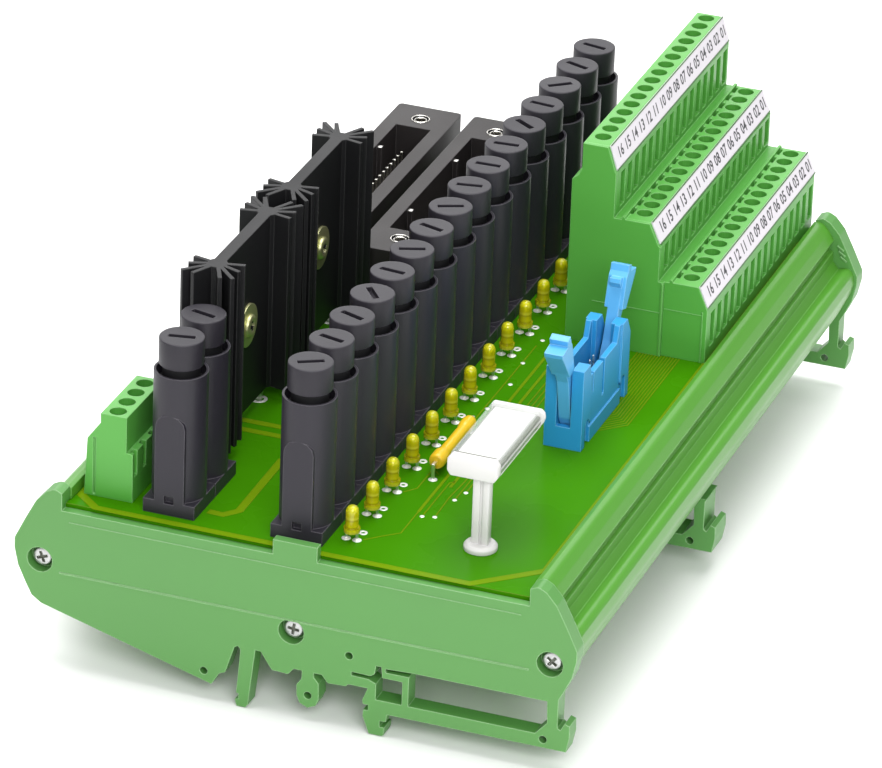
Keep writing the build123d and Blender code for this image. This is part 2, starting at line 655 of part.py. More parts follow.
def header_latch_rear():
    leaning = Rot(-LATCH_LEAN, 0, 0) * mirror(latch(), Plane.XZ)
    return Pos(header_mid(), pivot_ys()[1], PIVOT_Z) * leaning


# system connectors
def connector_mid_y():
    return CONN_Y0 + CONN_L / 2


def insert_ys():
    return [connector_mid_y() - INSERT_SPACING / 2, connector_mid_y() + INSERT_SPACING / 2]


def connector_housing(x0):
    mid_x = x0 + CONN_W / 2
    mid_y = connector_mid_y()
    shell = block(x0, x0 + CONN_W, CONN_Y0, CONN_Y0 + CONN_L, 0, CONN_H)
    shell = fillet(shell.edges().filter_by(Axis.Z), 1.0)
    shell -= block(mid_x - CAVITY_W / 2, mid_x + CAVITY_W / 2, mid_y - CAVITY_L / 2, mid_y + CAVITY_L / 2,
                   CAVITY_FLOOR, CONN_H + 1)
    for y in (mid_y - KEY_STEP / 2, mid_y + KEY_STEP / 2):
        shell += block(mid_x - CAVITY_W / 2, mid_x - CAVITY_W / 2 + KEY_W, y - KEY_L / 2, y + KEY_L / 2,
                       CAVITY_FLOOR, CONN_H - 0.8)
    for y in insert_ys():
        shell -= post(mid_x, y, CONN_H - INSERT_L, CONN_H + 1, INSERT_R + SEAT)
    return shell


def connector_contacts(x0):
    half = PLUG_PIN_W / 2
    mid_x = x0 + CONN_W / 2
    pins = []
    for i in range(PLUG_PIN_N):
        y = connector_mid_y() + (i - (PLUG_PIN_N - 1) / 2) * PLUG_PITCH
        for x in (mid_x - PLUG_PITCH / 2, mid_x + PLUG_PITCH / 2):
            pins.append(block(x - half, x + half, y - half, y + half, CAVITY_FLOOR, PLUG_PIN_TOP))
    return pins


def threaded_insert(x, y):
    tube = post(x, y, CONN_H - INSERT_L, CONN_H + 0.2, INSERT_R)
    return tube - post(x, y, CONN_H - INSERT_L - 1, CONN_H + 1, INSERT_BORE_R)


def save_connectors():
    for name, x0 in (("outer", CONN_LEFT_X0), ("inner", CONN_RIGHT_X0)):
        save(f"system_connector_{name}", connector_housing(x0))
        save(f"connector_contacts_{name}", connector_contacts(x0))
    xs = [CONN_LEFT_X0 + CONN_W / 2, CONN_RIGHT_X0 + CONN_W / 2]
    save("connector_screw_inserts", [threaded_insert(x, y) for x in xs for y in insert_ys()])


# heatsinks
def fin(x0, y0, x1, y1):
    length = math.hypot(x1 - x0, y1 - y0)
    nx, ny = -(y1 - y0) / length * FIN_T / 2, (x1 - x0) / length * FIN_T / 2
    return [(x0 + nx, y0 + ny), (x1 + nx, y1 + ny), (x1 - nx, y1 - ny), (x0 - nx, y0 - ny)]


def heatsink():
    # centred section: a web along Y with a star of fins at each end
    half = WEB_T / 2
    bar = slab_z([(-half, -HUB_OFF), (half, -HUB_OFF), (half, HUB_OFF), (-half, HUB_OFF)], SINK_Z0, SINK_Z1)
    for end in (-1, 1):
        bar += post(0, end * HUB_OFF, SINK_Z0, SINK_Z1, HUB_R)
        for tip_x, tip_y in FIN_TIPS:
            for side in (-1, 1):
                shape = fin(0, end * HUB_OFF, side * tip_x, end * (HUB_OFF + tip_y))
                bar += slab_z(shape, SINK_Z0, SINK_Z1)
    mid_z = (SINK_Z0 + SINK_Z1) / 2
    bar -= rod_x(0, mid_z, -WEB_T, WEB_T, SINK_SCREW_R + SEAT)
    half = SINK_PIN_W / 2 + SEAT
    for y in (-SINK_PIN_OFF, SINK_PIN_OFF):
        bar -= block(-half, half, y - half, y + half, SINK_Z0 - 1, SINK_Z0 + 4)
    return bar


def sink_pin(y):
    half = SINK_PIN_W / 2
    return block(SINK_X - half, SINK_X + half, y - half, y + half, 0, SINK_Z0 + 4)


def sink_screw(y):
    z = (SINK_Z0 + SINK_Z1) / 2
    face = SINK_X + WEB_T / 2 + WASHER_T
    head = rod_x(y, z, face, face + SINK_HEAD_H, SINK_HEAD_R)
    return head + rod_x(y, z, SINK_X - WEB_T / 2 - TAB_T - 1.5, face, SINK_SCREW_R)


def sink_washer(y):
    z = (SINK_Z0 + SINK_Z1) / 2
    face = SINK_X + WEB_T / 2
    return rod_x(y, z, face, face + WASHER_T, WASHER_R) - rod_x(y, z, face - 1, face + 2, SINK_SCREW_R + SEAT)


def power_case(y):
    # metal tab against the back of the web, moulded case below it
    back = SINK_X - WEB_T / 2
    mid_z = (SINK_Z0 + SINK_Z1) / 2
    low = mid_z - TAB_H / 2 - CASE_H
    case = block(back - TAB_T - CASE_T, back - TAB_T, y - CASE_W / 2, y + CASE_W / 2, low, low + CASE_H)
    case += block(back - TAB_T, back, y - CASE_W / 2, y + CASE_W / 2, low, mid_z + TAB_H / 2)
    return case - rod_x(y, mid_z, back - TAB_T - 1, back + 1, SINK_SCREW_R + SEAT)


def power_leads(y):
    back = SINK_X - WEB_T / 2 - TAB_T - 0.9
    low = (SINK_Z0 + SINK_Z1) / 2 - TAB_H / 2 - CASE_H
    half = 0.4
    return [block(back - half, back + half, y + o - half, y + o + half, 0, low) for o in (-2.54, 0, 2.54)]


def save_heatsinks():
    bar = heatsink()
    for name, y in zip(("front", "rear"), SINK_Y):
        save(f"heatsink_{name}", Pos(SINK_X, y, 0) * bar)
    save("heatsink_solder_pins", [sink_pin(y + o) for y in SINK_Y for o in (-SINK_PIN_OFF, SINK_PIN_OFF)])
    save("heatsink_screws", [sink_screw(y) for y in SINK_Y])
    save("heatsink_washers", [sink_washer(y) for y in SINK_Y])
    save("power_semiconductors", [power_case(y) for y in SINK_Y])


# axial resistor
def film_resistor():
    y0, y1 = RES_Y0, RES_Y1
    body = rod_y(RES_X, RES_Z, y0 + 1, y1 - 1, RES_MID_R)
    body += rod_y(RES_X, RES_Z, y0, y0 + RES_END_L, RES_END_R)
    return body + rod_y(RES_X, RES_Z, y1 - RES_END_L, y1, RES_END_R)


def resistor_leads():
    half = RES_LEAD_W / 2
    x0, x1 = RES_X - half, RES_X + half
    leads = []
    for y, out in ((RES_Y0, -1), (RES_Y1, 1)):
        turn = y + out * 1.6
        lead = block(x0, x1, min(y, turn), max(y, turn), RES_Z - half, RES_Z + half)
        leads.append(lead + block(x0, x1, turn - half, turn + half, 0, RES_Z + half))
    return leads


def save_leads():
    leads = [s for x, y in lamp_places() for s in lamp_leads(x, y)]
    leads += [s for y in SINK_Y for s in power_leads(y)]
    save("component_leads", leads + resistor_leads())


# label holder
def label_holder():
    half = POST_W / 2
    front, rear = POST_Y - POST_D / 2, POST_Y + POST_D / 2
    stem = block(POST_X - half, POST_X + half, front, rear, LABEL_FOOT_H - 0.4, LABEL_Z0 + 1)
    stem -= block(POST_X - 0.2, POST_X + 0.4, front - 1, front + 0.5, 0, LABEL_Z0)
    disc = post(POST_X, POST_Y, 0, LABEL_FOOT_H, LABEL_FOOT_R)
    disc = chamfer(disc.edges().group_by(Axis.Z)[-1], LABEL_FOOT_EDGE)
    disc &= block(POST_X - 9, POST_X + 9, POST_Y - 9, rear + 0.4, -1, 9)
    bar = block(LABEL_X0 + 0.9, LABEL_X1 - 0.9, LABEL_Y0 + 1, LABEL_Y1 - 1, LABEL_Z0 + 0.6, CARD_Z)
    return stem + disc + bar + label_cap(LABEL_Y0) + label_cap(LABEL_Y1 - LABEL_CAP_T)


def label_cap(y0):
    points = [(LABEL_X0 + 0.8, LABEL_Z0), (LABEL_X0, LABEL_Z0 + 1.2), (LABEL_X0, LABEL_Z1 - 0.9),
              (LABEL_X0 + 0.9, LABEL_Z1), (LABEL_X1 - 0.9, LABEL_Z1), (LABEL_X1, LABEL_Z1 - 0.9),
              (LABEL_X1, LABEL_Z0 + 1.2), (LABEL_X1 - 0.8, LABEL_Z0)]
    return slab_y(points, y0, y0 + LABEL_CAP_T)


def label_card():
    y0, y1 = LABEL_Y0 + LABEL_CAP_T, LABEL_Y1 - LABEL_CAP_T
    return block(LABEL_X0 + 1.6, LABEL_X1 - 1.6, y0, y1, CARD_Z, CARD_Z + CARD_T)


def label_cover():
    y0, y1 = LABEL_Y0 + LABEL_CAP_T, LABEL_Y1 - LABEL_CAP_T
    z1 = LABEL_Z1 - 0.3
    shell = block(LABEL_X0 + 0.1, LABEL_X1 - 0.1, y0, y1, LABEL_Z0 + 0.9, z1)
    inner = block(LABEL_X0 + 0.9, LABEL_X1 - 0.9, y0 - 1, y1 + 1, LABEL_Z0, z1 - LABEL_COVER_T)
    return shell - inner


def save_label():
    save("label_holder", label_holder())
    save("label_card", label_card())
    save("label_cover", label_cover())


def save_frame():
    front = end_plate_front()
    save("base_profile", base_profile())
    save("end_plate_front", front)
    save("end_plate_rear", flip_y(front))
    save("foot_middle", foot_middle())
    save("end_plate_screws", end_plate_screws())
    save("circuit_board", circuit_board())


def main():
    os.makedirs("parts", exist_ok=True)
    save_frame()
    save_fuses()
    save("status_lamps", [Pos(x, y, 0) * lamp() for x, y in lamp_places()])
    save_terminals()
    save_supply_terminal()
    save("ribbon_header_body", ribbon_header_body())
    save("ribbon_header_pins", header_pins())
    save("header_latch_front", header_latch_front())
    save("header_latch_rear", header_latch_rear())
    save_connectors()
    save_heatsinks()
    save("film_resistor", film_resistor())
    save_leads()
    save_label()


main()
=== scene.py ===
# %% [markdown]
# A passive interface module for a mounting rail, dressed for a studio picture. The engineering model
# already has every plate, holder and terminal in its true place, so this lesson gives it finishes and adds
# what a solid model leaves out: copper tracks under the lacquer, solder rings, printed numbers, mould lines
# and rounded caps.

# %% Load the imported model
import json
import math
import bmesh
import bpy
from mathutils import Matrix, Vector

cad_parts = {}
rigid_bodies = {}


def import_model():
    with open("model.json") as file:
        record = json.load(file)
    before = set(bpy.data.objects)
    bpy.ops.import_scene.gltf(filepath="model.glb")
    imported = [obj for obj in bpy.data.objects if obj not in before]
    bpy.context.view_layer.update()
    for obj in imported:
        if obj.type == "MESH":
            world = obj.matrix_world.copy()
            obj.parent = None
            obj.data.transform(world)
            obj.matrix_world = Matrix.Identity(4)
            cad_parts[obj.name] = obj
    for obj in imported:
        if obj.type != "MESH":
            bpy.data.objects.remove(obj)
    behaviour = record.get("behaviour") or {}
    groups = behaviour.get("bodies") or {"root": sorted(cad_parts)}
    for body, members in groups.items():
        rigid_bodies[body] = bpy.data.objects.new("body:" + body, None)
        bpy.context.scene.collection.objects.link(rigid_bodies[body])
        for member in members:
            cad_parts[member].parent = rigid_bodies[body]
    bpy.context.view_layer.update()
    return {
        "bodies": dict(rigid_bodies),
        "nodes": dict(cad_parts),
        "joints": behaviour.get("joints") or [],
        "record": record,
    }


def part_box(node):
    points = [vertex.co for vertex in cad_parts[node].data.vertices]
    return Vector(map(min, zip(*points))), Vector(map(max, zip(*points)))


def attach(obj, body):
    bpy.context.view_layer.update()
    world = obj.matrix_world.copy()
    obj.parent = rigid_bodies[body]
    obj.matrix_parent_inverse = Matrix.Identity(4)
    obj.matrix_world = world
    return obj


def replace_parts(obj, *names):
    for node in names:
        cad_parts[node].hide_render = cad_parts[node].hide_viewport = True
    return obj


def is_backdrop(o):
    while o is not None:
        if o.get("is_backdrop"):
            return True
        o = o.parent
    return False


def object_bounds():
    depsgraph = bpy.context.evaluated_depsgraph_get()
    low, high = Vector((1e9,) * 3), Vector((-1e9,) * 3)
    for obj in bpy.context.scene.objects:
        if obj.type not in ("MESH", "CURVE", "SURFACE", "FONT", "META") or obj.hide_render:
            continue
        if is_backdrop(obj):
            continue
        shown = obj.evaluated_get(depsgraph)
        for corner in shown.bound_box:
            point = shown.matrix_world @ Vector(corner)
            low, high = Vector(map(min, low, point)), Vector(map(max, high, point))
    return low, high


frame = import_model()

MM = 0.001
nodes = frame["nodes"]

# %% [markdown]
# The model's floor is z = 0 and the board's top face lies 40.5 mm above it. It is easier to think of
# heights above the board and of distances from the front plate, so one helper turns such a place into scene
# metres.

# %% Places measured from the board
BOARD_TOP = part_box("circuit_board")[1].z
FRONT_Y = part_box("end_plate_front")[0].y


def spot(x, y, z=0.0):
    return Vector((x * MM, FRONT_Y + y * MM, BOARD_TOP + z * MM))


print("board top at", round(BOARD_TOP / MM, 2), "mm, front face at", round(FRONT_Y / MM, 2), "mm")

# %% [markdown]
# The photograph was taken from far away with a long lens, so its lines run nearly parallel. A camera could
# be set by eye, but this one was fitted to the terminal pitch and the rail width, so that the picture can
# be laid over the photograph. It stands about 1.5 m off and looks 26 degrees down.

# %% Camera
CAMERA_PLACE = spot(450.66, -1198.20, 674.49)
CAMERA_TURN = (63.713, -1.970, 20.206)
LENS_MM, SENSOR_MM = 270.56, 36.0
NEAREST, FARTHEST = 0.1, 20.0

lens = bpy.data.cameras.new("long_lens")
lens.lens = LENS_MM
lens.sensor_width = SENSOR_MM
lens.clip_start = NEAREST
lens.clip_end = FARTHEST
camera = bpy.data.objects.new("camera", lens)
camera.location = CAMERA_PLACE
camera.rotation_euler = [math.radians(a) for a in CAMERA_TURN]
bpy.context.scene.collection.objects.link(camera)
bpy.context.scene.camera = camera
print("camera stands", round(camera.location.length, 2), "m from the origin")

# %% [markdown]
# A product picture has a pale floor and large soft lamps. One big lamp overhead gives the even light on
# every top face, one in front lifts the plate and the walls that face the reader, weak ones at the sides
# draw the long highlights, and a low one behind gives the sheen on slopes and cap tops. Each row of the
# table is a lamp's name, its place, the point it looks at, its width and height, all in metres, and its
# watts.

# %% Floor and light
FLOOR_SIZE, FLOOR_DROP = 12.0, 0.0002
FLOOR_WHITE, FLOOR_ROUGHNESS = (0.93, 0.93, 0.93), 0.6
MODULE_MIDDLE = (0, 0, 0.03)
SOFTBOXES = [
    ("overhead_softbox", (-0.1, 0.2, 1.3), (0, 0, 0), (1.2, 1.2), 26),
    ("front_softbox", (0.55, -1.15, 0.85), MODULE_MIDDLE, (1.0, 0.7), 17),
    ("left_softbox", (-1.1, -0.9, 0.7), MODULE_MIDDLE, (0.9, 0.9), 2),
    ("right_softbox", (1.2, -0.5, 0.6), MODULE_MIDDLE, (0.5, 1.2), 1),
    ("rear_softbox", (-0.5, 1.3, 0.7), MODULE_MIDDLE, (1.3, 0.8), 7),
]
ROOM_WHITE, ROOM_STRENGTH = (1.0, 1.0, 1.0, 1.0), 0.38


def plain_material(name, colour, roughness):
    material = bpy.data.materials.new(name)
    material.use_nodes = True
    shader = material.node_tree.nodes["Principled BSDF"]
    shader.inputs["Base Color"].default_value = (*colour, 1.0)
    shader.inputs["Roughness"].default_value = roughness
    return material


def soft_lamp(name, place, target, size, watts):
    lamp = bpy.data.lights.new(name, "AREA")
    lamp.shape = "RECTANGLE"
    lamp.size, lamp.size_y = size
    lamp.energy = watts
    holder = bpy.data.objects.new(name, lamp)
    holder.location = place
    holder.rotation_euler = (Vector(target) - Vector(place)).to_track_quat("-Z", "Y").to_euler()
    bpy.context.scene.collection.objects.link(holder)


floor_shape = bmesh.new()
bmesh.ops.create_grid(floor_shape, x_segments=1, y_segments=1, size=FLOOR_SIZE / 2)
floor_mesh = bpy.data.meshes.new("floor")
floor_shape.to_mesh(floor_mesh)
floor_shape.free()
floor_mesh.materials.append(plain_material("pale_floor", FLOOR_WHITE, FLOOR_ROUGHNESS))
floor = bpy.data.objects.new("floor", floor_mesh)
floor.location.z = -FLOOR_DROP
bpy.context.scene.collection.objects.link(floor)
floor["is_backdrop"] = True

for softbox in SOFTBOXES:
    soft_lamp(*softbox)
room = bpy.data.worlds.new("white_room")
room.use_nodes = True
background = room.node_tree.nodes["Background"]
background.inputs["Color"].default_value = ROOM_WHITE
background.inputs["Strength"].default_value = ROOM_STRENGTH
bpy.context.scene.world = room
bpy.context.scene.view_settings.view_transform = "Standard"

# %% [markdown]
# Moulded plastic is never quite flat: its edges are a little round and catch light, which the rounded
# shading shows and a lighter colour along them adds to as a painted highlight; its face carries a fine
# spark-eroded grain, and the colour drifts slightly where the melt flowed. Nearly all the finishes share
# these three effects, so they are built once as a shader group with named inputs and put into each of them.
# Only the floor and the yellow lamps go without it. An edge is found where the rounded normal leans away
# from the flat one: the two limits are cosines of that lean.

# %% Shader group for moulded surfaces
EDGE_RADIUS, EDGE_SAMPLES = 0.35 * MM, 6
EDGE_BEGINS, EDGE_FULL = 0.995, 0.80
FLOW_SCALE, FLOW_DETAIL = 35.0, 4.0
GRAIN_DETAIL, GRAIN_DEPTH = 3.0, 0.1 * MM
MATT_SPREAD = 0.25
GROUP_INPUTS = [
    ("Colour", "NodeSocketColor", (0.5, 0.5, 0.5, 1.0)),
    # The lighter colour painted along the edges as a highlight, and how much of it.
    ("Edge Highlight Colour", "NodeSocketColor", (0.8, 0.8, 0.8, 1.0)),
    ("Edge Highlight Amount", "NodeSocketFloat", 0.5),
    ("Grain Scale", "NodeSocketFloat", 2500.0),
    ("Grain Height", "NodeSocketFloat", 0.1),
    ("Roughness", "NodeSocketFloat", 0.4),
    ("Drift", "NodeSocketFloat", 0.06),
]
GROUP_OUTPUTS = [
    ("Colour", "NodeSocketColor"),
    ("Roughness", "NodeSocketFloat"),
    ("Normal", "NodeSocketVector"),
]


def add(tree, kind, **values):
    node = tree.nodes.new(kind)
    for key, value in values.items():
        setattr(node, key, value)
    return node


def build_surface_group():
    group = bpy.data.node_groups.new("moulded_surface", "ShaderNodeTree")
    for name, kind, value in GROUP_INPUTS:
        group.interface.new_socket(name, in_out="INPUT", socket_type=kind).default_value = value
    for name, kind in GROUP_OUTPUTS:
        group.interface.new_socket(name, in_out="OUTPUT", socket_type=kind)
    inside = add(group, "NodeGroupInput")
    out = add(group, "NodeGroupOutput")
    link = group.links.new
    place = add(group, "ShaderNodeTexCoord")

    rounded = add(group, "ShaderNodeBevel", samples=EDGE_SAMPLES)
    rounded.inputs["Radius"].default_value = EDGE_RADIUS
    geometry = add(group, "ShaderNodeNewGeometry")
    turn = add(group, "ShaderNodeVectorMath", operation="DOT_PRODUCT")
    link(rounded.outputs["Normal"], turn.inputs[0])
    link(geometry.outputs["True Normal"], turn.inputs[1])
    edge = add(group, "ShaderNodeMapRange")
    edge.inputs["From Min"].default_value = EDGE_BEGINS
    edge.inputs["From Max"].default_value = EDGE_FULL
    link(turn.outputs["Value"], edge.inputs["Value"])
    highlight_share = add(group, "ShaderNodeMath", operation="MULTIPLY")
    link(edge.outputs["Result"], highlight_share.inputs[0])
    link(inside.outputs["Edge Highlight Amount"], highlight_share.inputs[1])

    flow = add(group, "ShaderNodeTexNoise")
    flow.inputs["Scale"].default_value = FLOW_SCALE
    flow.inputs["Detail"].default_value = FLOW_DETAIL
    link(place.outputs["Object"], flow.inputs["Vector"])
    centred = add(group, "ShaderNodeMath", operation="SUBTRACT")
    centred.inputs[1].default_value = 0.5
    link(flow.outputs["Fac"], centred.inputs[0])
    drift = add(group, "ShaderNodeMath", operation="MULTIPLY_ADD")
    drift.inputs[2].default_value = 1.0
    link(centred.outputs[0], drift.inputs[0])
    link(inside.outputs["Drift"], drift.inputs[1])
    tinted = add(group, "ShaderNodeHueSaturation")
    link(inside.outputs["Colour"], tinted.inputs["Color"])
    link(drift.outputs[0], tinted.inputs["Value"])
    # Along the edges a lighter colour is mixed in: a painted highlight.
    colour = add(group, "ShaderNodeMix", data_type="RGBA")
    link(highlight_share.outputs[0], colour.inputs["Factor"])
    link(tinted.outputs["Color"], colour.inputs["A"])
    link(inside.outputs["Edge Highlight Colour"], colour.inputs["B"])
    link(colour.outputs["Result"], out.inputs["Colour"])

    grain = add(group, "ShaderNodeTexNoise")
    grain.inputs["Detail"].default_value = GRAIN_DETAIL
    link(place.outputs["Object"], grain.inputs["Vector"])
    link(inside.outputs["Grain Scale"], grain.inputs["Scale"])
    bump = add(group, "ShaderNodeBump")
    bump.inputs["Distance"].default_value = GRAIN_DEPTH
    link(inside.outputs["Grain Height"], bump.inputs["Strength"])
    link(grain.outputs["Fac"], bump.inputs["Height"])
    link(rounded.outputs["Normal"], bump.inputs["Normal"])
    link(bump.outputs["Normal"], out.inputs["Normal"])

    matt = add(group, "ShaderNodeMath", operation="MULTIPLY_ADD")
    matt.inputs[1].default_value = MATT_SPREAD
    link(centred.outputs[0], matt.inputs[0])
    link(inside.outputs["Roughness"], matt.inputs[2])
    link(matt.outputs[0], out.inputs["Roughness"])
    return group


surface_group = build_surface_group()
print("shader group inputs:", [s.name for s in surface_group.interface.items_tree if s.in_out == "INPUT"])

# %% [markdown]
# Each finish is one material: the shared group feeds colour, roughness and normal, and what stays the same
# all over, such as the sheen's level, the metal's value or how clear a glass is, is set on the shader
# itself. A row of the table gives the colour, the colour of the painted edge highlight and its strength,
# the grain's scale and height, the roughness, the drift of the colour, and the shader's own values.

# %% Finishes
PLAIN = {}
DULL = {"Specular IOR Level": 0.3}
LACQUER = {"Specular IOR Level": 0.02}
METAL = {"Metallic": 1.0}
PASSIVATED = {"Metallic": 0.85}
TINNY = {"Metallic": 0.4}
EPOXY = {"Transmission Weight": 0.75, "IOR": 1.4, "Specular IOR Level": 0.3}
GLASS = {"Transmission Weight": 0.8}
SEE_THROUGH = {"Alpha": 0.22}
FINISHES = {
    # The second colour in each row is the painted highlight along its edges.
    "profile_green": ((0.065, 0.24, 0.02), (0.26, 0.55, 0.17), 0.5, (900.0, 0.04), 0.36, 0.12, PLAIN),
    "plate_green": ((0.080, 0.245, 0.055), (0.52, 0.78, 0.46), 0.6, (2600.0, 0.12), 0.42, 0.12, PLAIN),
    "board": ((0.038, 0.188, 0.001), (0.24, 0.24, 0.05), 0.6, (1400.0, 0.02), 0.28, 0.2, LACQUER),
    "terminal_green": ((0.075, 0.315, 0.043), (0.36, 0.72, 0.30), 0.5, (2400.0, 0.1), 0.42, 0.12, PLAIN),
    "marker_white": ((0.62, 0.59, 0.63), (0.86, 0.86, 0.86), 0.3, (2000.0, 0.05), 0.5, 0.05, PLAIN),
    "holder_black": ((0.022, 0.020, 0.027), (0.16, 0.15, 0.17), 0.6, (2600.0, 0.2), 0.42, 0.12, DULL),
    "cap_black": ((0.020, 0.018, 0.024), (0.15, 0.14, 0.16), 0.5, (2600.0, 0.2), 0.44, 0.12, DULL),
    "connector_grey": ((0.022, 0.019, 0.019), (0.16, 0.15, 0.15), 0.5, (2200.0, 0.3), 0.48, 0.12, DULL),
    "header_blue": ((0.022, 0.265, 0.57), (0.22, 0.58, 0.88), 0.6, (2400.0, 0.1), 0.36, 0.12, PLAIN),
    "latch_blue": ((0.080, 0.36, 0.68), (0.32, 0.66, 0.92), 0.6, (2400.0, 0.1), 0.34, 0.12, PLAIN),
    "anodised_black": ((0.009, 0.009, 0.010), (0.10, 0.10, 0.10), 0.4, (1200.0, 0.25), 0.5, 0.12, DULL),
    "lamp_yellow": ((0.84, 0.80, 0.006), (0.95, 0.92, 0.14), 0.4, (800.0, 0.0), 0.10, 0.0, EPOXY),
    "resistor_yellow": ((0.72, 0.46, 0.015), (0.92, 0.72, 0.16), 0.3, (600.0, 0.15), 0.3, 0.12, PLAIN),
    "fuse_glass": ((0.80, 0.86, 0.84), (0.9, 0.95, 0.93), 0.2, (400.0, 0.02), 0.08, 0.12, GLASS),
    "clear_cover": ((0.80, 0.84, 0.80), (0.95, 0.96, 0.95), 0.6, (500.0, 0.03), 0.15, 0.12, SEE_THROUGH),
    "label_white": ((0.60, 0.59, 0.58), (0.82, 0.82, 0.82), 0.4, (1800.0, 0.06), 0.4, 0.03, PLAIN),
    "tinned_metal": ((0.80, 0.79, 0.76), (0.95, 0.95, 0.93), 0.3, (1500.0, 0.2), 0.34, 0.12, METAL),
    "solder": ((0.86, 0.86, 0.84), (0.97, 0.97, 0.96), 0.4, (900.0, 0.2), 0.38, 0.1, TINNY),
    "yellow_zinc": ((0.60, 0.60, 0.30), (0.88, 0.88, 0.60), 0.5, (1100.0, 0.3), 0.38, 0.5, PASSIVATED),
    "steel": ((0.50, 0.50, 0.50), (0.85, 0.85, 0.84), 0.4, (1500.0, 0.3), 0.36, 0.12, METAL),
    "contact_gold": ((0.84, 0.82, 0.74), (0.98, 0.96, 0.9), 0.3, (1500.0, 0.1), 0.28, 0.12, METAL),
    "brass_insert": ((0.78, 0.76, 0.71), (0.97, 0.96, 0.92), 0.4, (1500.0, 0.1), 0.22, 0.12, METAL),
    # A dark grey for painted shadow lines and for painted shade in the plate screws' drives.
    "painted_shadow_grey": ((0.13, 0.14, 0.11), (0.3, 0.3, 0.28), 0.2, (900.0, 0.05), 0.4, 0.1, PLAIN),
    # A near-black painted shade for faces that little light reaches: under the cap knobs, in drives and in
    # gaps.
    "painted_shade_black": ((0.006, 0.006, 0.007), (0.03, 0.03, 0.03), 0.3, (2600.0, 0.2), 0.6, 0.12, DULL),
}


def moulded(name, colour, edge, highlight_amount, grain, roughness, drift, shader_values):
    material = bpy.data.materials.new(name)
    material.use_nodes = True
    tree = material.node_tree
    shader = tree.nodes["Principled BSDF"]
    surface = add(tree, "ShaderNodeGroup")
    surface.node_tree = surface_group
    surface.inputs["Colour"].default_value = (*colour, 1.0)
    surface.inputs["Edge Highlight Colour"].default_value = (*edge, 1.0)
    surface.inputs["Edge Highlight Amount"].default_value = highlight_amount
    surface.inputs["Grain Scale"].default_value, surface.inputs["Grain Height"].default_value = grain
    surface.inputs["Roughness"].default_value = roughness
    surface.inputs["Drift"].default_value = drift
    tree.links.new(surface.outputs["Colour"], shader.inputs["Base Color"])
    tree.links.new(surface.outputs["Roughness"], shader.inputs["Roughness"])
    tree.links.new(surface.outputs["Normal"], shader.inputs["Normal"])
    for key, value in shader_values.items():
        shader.inputs[key].default_value = value
    return material


finishes = {name: moulded(name, *values) for name, values in FINISHES.items()}
for part in frame["record"]["subparts"]:
    mesh = nodes[part["node"]].data
    mesh.materials.clear()
    mesh.materials.append(finishes[part["material_slot"]])
print(len(finishes), "finishes on", len(nodes), "nodes")

# %% [markdown]
# Pieces that a facetted model can't show well, such as the round caps and lamps, are turned on a lathe: a
# half outline of radius and height is drawn as an open wire, its corners are rounded while it is still a
# wire, and a full spin about the upright axis closes it. Rounding the wire is simpler than bevelling the
# finished body, because each corner is still a single point. A piece that has a drive or a slot keeps its
# top open at first, and the top is then filled between the round rim and the sunk shape.

# %% Lathe and finishing helpers
WELD = 1e-6
SMOOTH_ANGLE = 32.0
ROUNDING_STEPS = 3


def keep_piece(name, shape, finish, body="root"):
    bmesh.ops.remove_doubles(shape, verts=shape.verts, dist=WELD)
    bmesh.ops.recalc_face_normals(shape, faces=shape.faces)
    mesh = bpy.data.meshes.new(name)
    shape.to_mesh(mesh)
    shape.free()
    mesh.materials.append(finishes[finish])
    mesh.polygons.foreach_set("use_smooth", [True] * len(mesh.polygons))
    mesh.set_sharp_from_angle(angle=math.radians(SMOOTH_ANGLE))
    piece = bpy.data.objects.new(name, mesh)
    bpy.context.scene.collection.objects.link(piece)
    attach(piece, body)
    return piece


def second_finish(piece, finish, chosen):
    """Give the faces that chosen() picks by their middle another material."""
    piece.data.materials.append(finishes[finish])
    for face in piece.data.polygons:
        face.material_index = int(chosen(face.center))


def turned(outline, rounding=0.0, steps=40, closed=False):
    shape = bmesh.new()
    wire = [shape.verts.new((r * MM, 0.0, z * MM)) for r, z in outline]
    ends = wire[1:] + wire[:1] if closed else wire[1:]
    for pair in zip(wire, ends):
        shape.edges.new(pair)
    if rounding:
        corners = [v for v in wire[1:-1] if v.co.x > 0.0]
        bmesh.ops.bevel(shape, geom=corners, offset=rounding * MM, offset_type="OFFSET",
                        segments=ROUNDING_STEPS, profile=0.5, affect="VERTICES", material=-1)
    bmesh.ops.spin(shape, geom=shape.verts[:] + shape.edges[:], cent=(0, 0, 0), axis=(0, 0, 1),
                   angle=math.tau, steps=steps, use_merge=True)
    return shape


def corners_of(made):
    return [g for g in made if isinstance(g, bmesh.types.BMVert)]


def topped(outline, hole, depth, rounding=0.0, steps=40):
    """A turned part whose open top rim is closed round a sunk recess of the given outline."""
    shape = turned(outline, rounding=rounding, steps=steps)
    bmesh.ops.remove_doubles(shape, verts=shape.verts, dist=WELD)
    rim = [e for e in shape.edges if e.is_boundary]
    ring = bmesh.ops.create_circle(shape, segments=len(hole), radius=1.0)["verts"]
    top = outline[0][1]
    for vert, (x, y) in zip(ring, hole):
        vert.co = (x * MM, y * MM, top * MM)
    ring_edges = list(dict.fromkeys(e for v in ring for e in v.link_edges))
    bmesh.ops.triangle_fill(shape, edges=rim + ring_edges, use_beauty=True)
    walls = bmesh.ops.extrude_edge_only(shape, edges=ring_edges)["geom"]
    sunk = corners_of(walls)
    bmesh.ops.translate(shape, verts=sunk, vec=(0, 0, -depth * MM))
    bmesh.ops.contextual_create(shape, geom=[e for e in walls if isinstance(e, bmesh.types.BMEdge)
                                             and all(v in sunk for v in e.verts)])
    return shape


